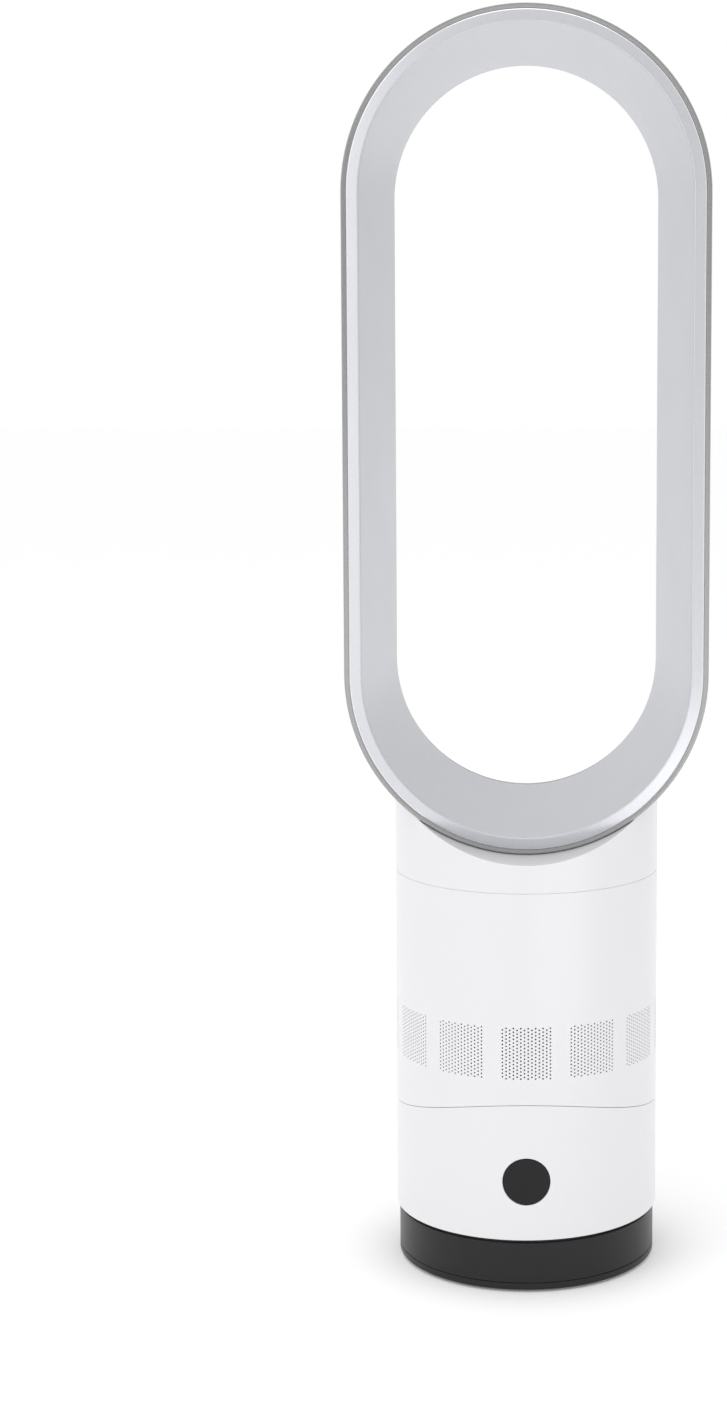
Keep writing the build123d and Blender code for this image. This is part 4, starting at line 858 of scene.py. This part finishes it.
# ---------------- power key
class FAN_OT_build_key(Operator):
    """Build the round power key, curved with the body"""

    bl_idname = "fan.build_key"
    bl_label = "Power key"

    def execute(self, context):
        sizes = context.scene.fan_sizes
        centre = (KEY_LOW.z + KEY_HIGH.z) / 2
        radius, edge = sizes.key_radius, sizes.edge
        flange, stem, stem_end = 1.2 * MM, 3 * MM, 2.9 * MM
        back = KEY_LOW.y + 4.3 * MM
        face_radius = sizes.body_radius - 0.02 * MM
        key = Skin()

        def ring(reach, depth=None, sink=0.0):
            """A ring of points at a depth, or on the key's curved face."""
            row = []
            for t in full_turn(96):
                x, z = reach * cos(t), reach * sin(t)
                y = -sqrt(face_radius**2 - x * x) + sink if depth is None else depth
                row.append(key.point(x, y, centre + z))
            return row

        rows = [ring((radius - edge) * k / 8) for k in range(1, 9)]
        rows += [ring(radius - edge + edge * s, sink=edge - edge * c) for s, c in quarter(5)[1:]]
        rows += [ring(radius, back), ring(radius + flange, back), ring(radius + flange, back + flange)]
        rows += [ring(stem, back + flange), ring(stem_end, KEY_HIGH.y)]
        key.loft(rows, closed=False)
        key.cap(rows)
        key.piece("key_skin", "power_key", ["power_key"], "black_key")
        return {"FINISHED"}


# ---------------- foot
SOCKET_Z = (SOCKET_LOW.z + SOCKET_HIGH.z) / 2
SOCKET_HALF_WIDTH = (SOCKET_HIGH.x - SOCKET_LOW.x) / 2
SOCKET_HALF_HEIGHT = (SOCKET_HIGH.z - SOCKET_LOW.z) / 2


class FAN_OT_build_foot(Operator):
    """Build the black foot with its parting line and the socket's opening"""

    bl_idname = "fan.build_foot"
    bl_label = "Foot"

    def execute(self, context):
        sizes = context.scene.fan_sizes
        radius, low, high = FOOT_HIGH.x, FOOT_LOW.z, FOOT_HIGH.z
        inner = radius - sizes.wall
        half_width, half_height = SOCKET_HALF_WIDTH + 0.1 * MM, SOCKET_HALF_HEIGHT + 0.1 * MM
        under, over, groove, sink = 1.2 * MM, 0.3 * MM, 0.45 * MM, 0.7 * MM
        groove_low, groove_high = sizes.groove_z - groove / 2, sizes.groove_z + groove / 2
        shoulder, inset = high - 1.6 * MM, 1.2 * MM
        glide_ring, hub_hole, ceiling = 60 * MM, 15.05 * MM, high - 3 * MM
        sides, half_blocks = 240, 8
        levels = [SOCKET_Z + k * MM for k in range(-half_blocks, half_blocks + 1)]
        outline = [(radius - under + under * s, low + under - under * c) for s, c in quarter(6)]
        outline += [
            (radius, groove_low), (radius - sink, groove_low),
            (radius - sink, groove_high), (radius, groove_high),
        ]
        outer_row = len(outline)
        outline += [(radius, z) for z in levels]
        outline += [(radius, levels[-1] + 2.5 * MM)]
        outline += [(radius - over + over * c, shoulder - over + over * s) for s, c in quarter()]
        outline += [
            (radius - inset, shoulder), (radius - inset, high), (glide_ring, high),
            (hub_hole, high), (hub_hole, ceiling), (inner, ceiling),
        ]
        inner_row = len(outline)
        outline += [(inner, z) for z in reversed(levels)]
        outline += [(inner, low)]
        wall = Wall(full_turn(sides), [lambda a, r=r, z=z: (r, z) for r, z in outline])
        window(
            wall, outer_row, inner_row, sides // 2 - half_blocks, (pi, SOCKET_Z),
            lambda way: box_reach(way, half_width, half_height), (radius, inner),
            edge=0.2 * MM, levels=levels,
        )
        wall.close()
        wall.piece("foot_skin", "foot", ["foot_shell"], "black_satin")
        return {"FINISHED"}


class FAN_OT_build_socket(Operator):
    """Build the low-voltage socket in the back of the foot, with its centre pin"""

    bl_idname = "fan.build_socket"
    bl_label = "Supply socket"

    def execute(self, context):
        face, bore, bevel = SOCKET_HIGH.y, 2.8 * MM, 0.4 * MM
        pin_radius, pin_end, depth = 0.65 * MM, face - 2 * MM, 9

        def row_of(skin, y, reach):
            """Points round the socket's axis, at a distance that reach gives for each direction."""
            return [skin.point(reach(t) * cos(t), y, SOCKET_Z + reach(t) * sin(t)) for t in full_turn(96)]

        def block_edge(t, inset=0.0):
            return box_reach(t, SOCKET_HALF_WIDTH - inset, SOCKET_HALF_HEIGHT - inset)

        block = Skin()
        rows = [row_of(block, y, block_edge) for y in (SOCKET_LOW.y, face - bevel)]
        rows.append(row_of(block, face, lambda t: block_edge(t, bevel)))
        # how deep and how much wider than the bore, in millimetres, down into it
        for sink, wider in ((0, 1.3), (0.3, 1.0), (0.3, 0.2), (0.5, 0), (depth, 0)):
            rows.append(row_of(block, face - sink * MM, lambda t, r=bore + wider * MM: r))
        block.loft(rows, closed=False)
        block.cap(rows)
        block.piece("socket_block", "foot", ["power_inlet"], "black_satin")
        pin = Skin()
        rows = [row_of(pin, y, lambda t: pin_radius) for y in (face - depth * MM, pin_end)]
        rows += [
            row_of(pin, pin_end + pin_radius * s, lambda t, c=c: max(pin_radius * c, 0.05 * MM))
            for s, c in quarter()[1:]
        ]
        pin.loft(rows, closed=False)
        pin.cap(rows)
        pin.piece("socket_pin", "foot", [], "steel")
        return {"FINISHED"}


# ---------------- air loop
BEZEL_INSET = 3.0  # millimetres, from the loop's outside to the edge of its front bevel


def round_loop(skin, outline, arc_steps=80, side_steps=14, finish_of=None):
    """Runs a closed outline of (distance from the spine, depth) round the loop."""
    places = [(SPINE_TOP, pi * k / arc_steps) for k in range(arc_steps + 1)]
    run = SPINE_TOP - SPINE_FOOT
    places += [(SPINE_TOP - run * k / side_steps, pi) for k in range(1, side_steps)]
    places += [(SPINE_FOOT, pi + pi * k / arc_steps) for k in range(arc_steps + 1)]
    places += [(SPINE_FOOT + run * k / side_steps, 0.0) for k in range(1, side_steps)]
    rows = [[skin.point(out * cos(a), y, z + out * sin(a)) for z, a in places] for out, y in outline]
    skin.loft(rows, finish_of=finish_of)


def in_metres(points):
    """An outline in millimetres put into metres, no further out than the loop's real radius."""
    return [(min(x * MM, LOOP_RADIUS), y * MM) for x, y in points]


class FAN_OT_build_case(Operator):
    """Build the loop's outer case, from its rim round the back to the inner lip"""

    bl_idname = "fan.build_case"
    bl_label = "Loop case"

    def execute(self, context):
        # in millimetres: distance from the spine, depth
        out, wall, lip = LOOP_RADIUS / MM, 2, 74.6
        front, rear = -45.4, LOOP_HIGH.y / MM
        bezel, ledge, ledge_end = out - BEZEL_INSET, front + 0.5, out - 2.7
        groove_out = out - 0.6
        groove_in, groove_floor = groove_out - context.scene.fan_sizes.rim_groove / MM, front + 0.35
        corners = [
            # the outside, and round the back to the inner lip
            (out, 30.5), *arc((out, 30.5), (95.2, 41.5), (86, rear), 10)[1:], (83.5, rear),
            *arc((81, rear), (76.5, 45.6), (lip, 41.5), 8), (lip, 39.9, 0.3), (75.3, 39.9, 0.3),
            # back along the inside to the front
            *arc((75.3, 41.4), (77.1, 44.7), (81, rear - 1), 6),
            *arc((86, rear - wall), (93.6, 40.2), (out - wall, 30.5), 6), (out - wall, -42.6),
            # the ledge round the bevel, the rim with its fine groove, and the outside
            (bezel + 0.02, -43.4), (bezel + 0.02, ledge), (ledge_end, ledge), (ledge_end, front + 0.1, 0.2),
            (groove_in, front - 0.1, 0.12), (groove_in, groove_floor),
            (groove_out, groove_floor), (groove_out, front + 0.1, 0.1),
            (out, front + 0.9, 0.6), (out, -30), (out, -10), (out, 10),
        ]
        case = Skin()
        round_loop(case, in_metres(eased(corners)))
        # the whole case takes the darker silver, painted shade for its dark rim
        case.piece("loop_case", "main_body", ["loop_shell"], "satin_silver", ["painted_shade_case_silver"], crease=30)
        return {"FINISHED"}


class FAN_OT_build_flare(Operator):
    """Build the loop's front bevel and the long flared wall behind it"""

    bl_idname = "fan.build_flare"
    bl_label = "Loop flare"

    def execute(self, context):
        # in millimetres: distance from the spine, depth
        bezel = LOOP_RADIUS / MM - BEZEL_INSET
        front, lip, throat = FLARE_LOW.y / MM, 88.8, 73.7
        corners = [
            # the edge, in a pale silver that paints its highlight line, and the bevel, in a lighter silver that
            # paints the light it catches, then the flared wall to its rounded end
            (bezel, front + 3.6), (bezel, front + 1.6, 0.25), (bezel - 0.6, front + 1.05, 0.25),
            (lip, front, 0.9), *arc((lip, front), (80.4, -4), (throat, 33), 20)[1:],
            *arc((throat, 33), (74.9, 36.2), (77.5, 38.6), 8)[1:], (83, 41.2),
            # back along the inside
            (83, 39.2), *arc((83, 39.2), (79, 37.2), (throat + 2, 33), 6)[1:],
            *arc((throat + 2, 33), (82.4, -4), (90.5, front + 2.6), 12)[1:], (bezel - 2, front + 3.6),
        ]
        finishes = ["satin_silver", "painted_highlight_silver", "painted_light_bevel_silver"]
        # rows 2 to 7 round the edge take the painted highlight silver, rows 8 to 13 the bevel's lighter
        # painted-light silver
        highlight_rows, bevel = range(2, 8), range(8, 14)
        flare = Skin()
        round_loop(
            flare, in_metres(eased(corners)),
            finish_of=lambda row: 1 if row in highlight_rows else 2 if row in bevel else 0,
        )
        flare.piece("loop_flare", "main_body", ["loop_diffuser"], "satin_silver", finishes, crease=30)
        return {"FINISHED"}


# ---------------- stage
# name, place, width and height, watts
LIGHTS = (
    ("Left softbox", (-1.5, -1.2, 1.5), (0.9, 1.8), 5.0),
    ("Left strip", (-0.95, -2.0, 0.6), (0.4, 1.8), 1.9),
    ("Low panel", (0.30, -0.52, 0.02), (0.5, 0.35), 0.5),
    ("Top softbox", (0.1, -0.3, 2.4), (1.6, 1.6), 5.5),
)
LIGHTS_AIM = Vector((0, 0, 0.38))
CAMERA_PLACE = (0.0, -1.38556, 0.51853)
CAMERA_DIP = 0.107221
CAMERA_LENS = 63.31
CAMERA_SHIFT = (-0.11416, -0.07832)
FLOOR_REACH = 12.0


class FAN_OT_set_stage(Operator):
    """Set the pale floor, the soft light and the camera"""

    bl_idname = "fan.set_stage"
    bl_label = "Stage"

    def execute(self, context):
        scene, studio = context.scene, context.scene.fan_studio
        scene.view_settings.view_transform = "Standard"
        self.lay_floor(scene, studio)
        self.light_room(scene, studio)
        for name, place, size, power in LIGHTS:
            light = bpy.data.lights.new(name, "AREA")
            light.shape = "RECTANGLE"
            light.size, light.size_y = size
            light.energy = power
            lamp = bpy.data.objects.new(name, light)
            lamp.visible_camera = False
            lamp.location = place
            lamp.rotation_euler = (LIGHTS_AIM - Vector(place)).to_track_quat("-Z", "Y").to_euler()
            scene.collection.objects.link(lamp)
        camera = bpy.data.cameras.new("Camera")
        camera.sensor_width = 36.0
        camera.lens = CAMERA_LENS
        camera.shift_x, camera.shift_y = CAMERA_SHIFT
        camera.clip_start, camera.clip_end = 0.05, 100.0
        stand = bpy.data.objects.new("Camera", camera)
        stand.location = CAMERA_PLACE
        stand.rotation_euler = (pi / 2 - CAMERA_DIP, 0.0, 0.0)
        scene.collection.objects.link(stand)
        scene.camera = stand
        return {"FINISHED"}

    def lay_floor(self, scene, studio):
        """A plain pale floor that gives off a little light."""
        tree, shader = new_finish("floor_paper", specular=0.1)
        set_inputs(shader, Roughness=0.7, Emission_Color=(1, 1, 1, 1), Emission_Strength=studio.floor_glow)
        paper = maths(tree, "MULTIPLY", object_noise(tree, 300.0, 3.0), 0.02)
        tone = blend_colours(tree, paper, rgba(studio.floor), rgba(studio.floor, 0.97))
        connect(tree, shader, Base_Color=tone)
        mesh = bpy.data.meshes.new("Floor")
        corners = [(x * FLOOR_REACH, y * FLOOR_REACH, 0) for x, y in ((-1, -1), (1, -1), (1, 1), (-1, 1))]
        mesh.from_pydata(corners, [], [(0, 1, 2, 3)])
        mesh.materials.append(FINISHES["floor_paper"])
        floor = bpy.data.objects.new("Floor", mesh)
        scene.collection.objects.link(floor)

    def light_room(self, scene, studio):
        """An even white surround, dimmer in the part of the room that the fan faces."""
        world = bpy.data.worlds.new("Studio")
        world.use_nodes = True
        scene.world = world
        tree = world.node_tree
        tree.nodes.clear()
        way = add_node(tree, "SeparateXYZ")
        tree.links.new(add_node(tree, "TexCoord").outputs["Generated"], way.inputs[0])
        ahead = add_node(tree, "MapRange", clamp=True, interpolation_type="SMOOTHSTEP")
        set_inputs(ahead, From_Min=-0.985, From_Max=-0.90, To_Min=studio.front, To_Max=1.0)
        connect(tree, ahead, Value=way.outputs["Y"])
        room = add_node(tree, "Background")
        dimmer = maths(tree, "MULTIPLY", way.outputs["X"], studio.fall_off)
        glow = maths(tree, "MULTIPLY", maths(tree, "SUBTRACT", 1.0, dimmer), studio.glow)
        connect(tree, room, Strength=maths(tree, "MULTIPLY", ahead.outputs[0], glow))
        backdrop = add_node(tree, "Background")
        for node in (room, backdrop):
            set_inputs(node, Color=(1, 1, 1, 1))
        seen = add_node(tree, "MixShader")
        tree.links.new(add_node(tree, "LightPath").outputs["Is Camera Ray"], seen.inputs[0])
        tree.links.new(room.outputs[0], seen.inputs[1])
        tree.links.new(backdrop.outputs[0], seen.inputs[2])
        connect(tree, add_node(tree, "OutputWorld"), Surface=seen.outputs[0])


# ---------------- panel and run
OPERATORS = (
    FAN_OT_mix_finishes, FAN_OT_build_housing, FAN_OT_build_skirt, FAN_OT_build_neck, FAN_OT_build_key,
    FAN_OT_build_foot, FAN_OT_build_socket, FAN_OT_build_case, FAN_OT_build_flare, FAN_OT_set_stage,
)
GROUPS = (("fan_sizes", FanSizes), ("fan_colours", FanColours), ("fan_studio", FanStudio))


class FAN_PT_panel(Panel):
    """The fan's sizes, colours and building steps"""

    bl_idname = "FAN_PT_panel"
    bl_label = "Bladeless tower fan"
    bl_space_type = "VIEW_3D"
    bl_region_type = "UI"
    bl_category = "Fan"

    def draw(self, context):
        for name, group in GROUPS:
            box = self.layout.box()
            box.label(text=group.__doc__)
            for field in group.__annotations__:
                box.prop(getattr(context.scene, name), field)
        for operator in OPERATORS:
            self.layout.operator(operator.bl_idname)


def register():
    for group in (FanSizes, FanColours, FanStudio, *OPERATORS, FAN_PT_panel):
        bpy.utils.register_class(group)
    for name, group in GROUPS:
        setattr(bpy.types.Scene, name, PointerProperty(type=group))


def unregister():
    for name, group in GROUPS:
        delattr(bpy.types.Scene, name)
    for group in (FAN_PT_panel, *reversed(OPERATORS), FanStudio, FanColours, FanSizes):
        bpy.utils.unregister_class(group)


def main():
    register()
    for operator in OPERATORS:
        step = operator.bl_idname.split(".")[1]
        if getattr(bpy.ops.fan, step)() != {"FINISHED"}:
            raise RuntimeError(f"{operator.bl_label} didn't finish")


if __name__ == "__main__":
    main()
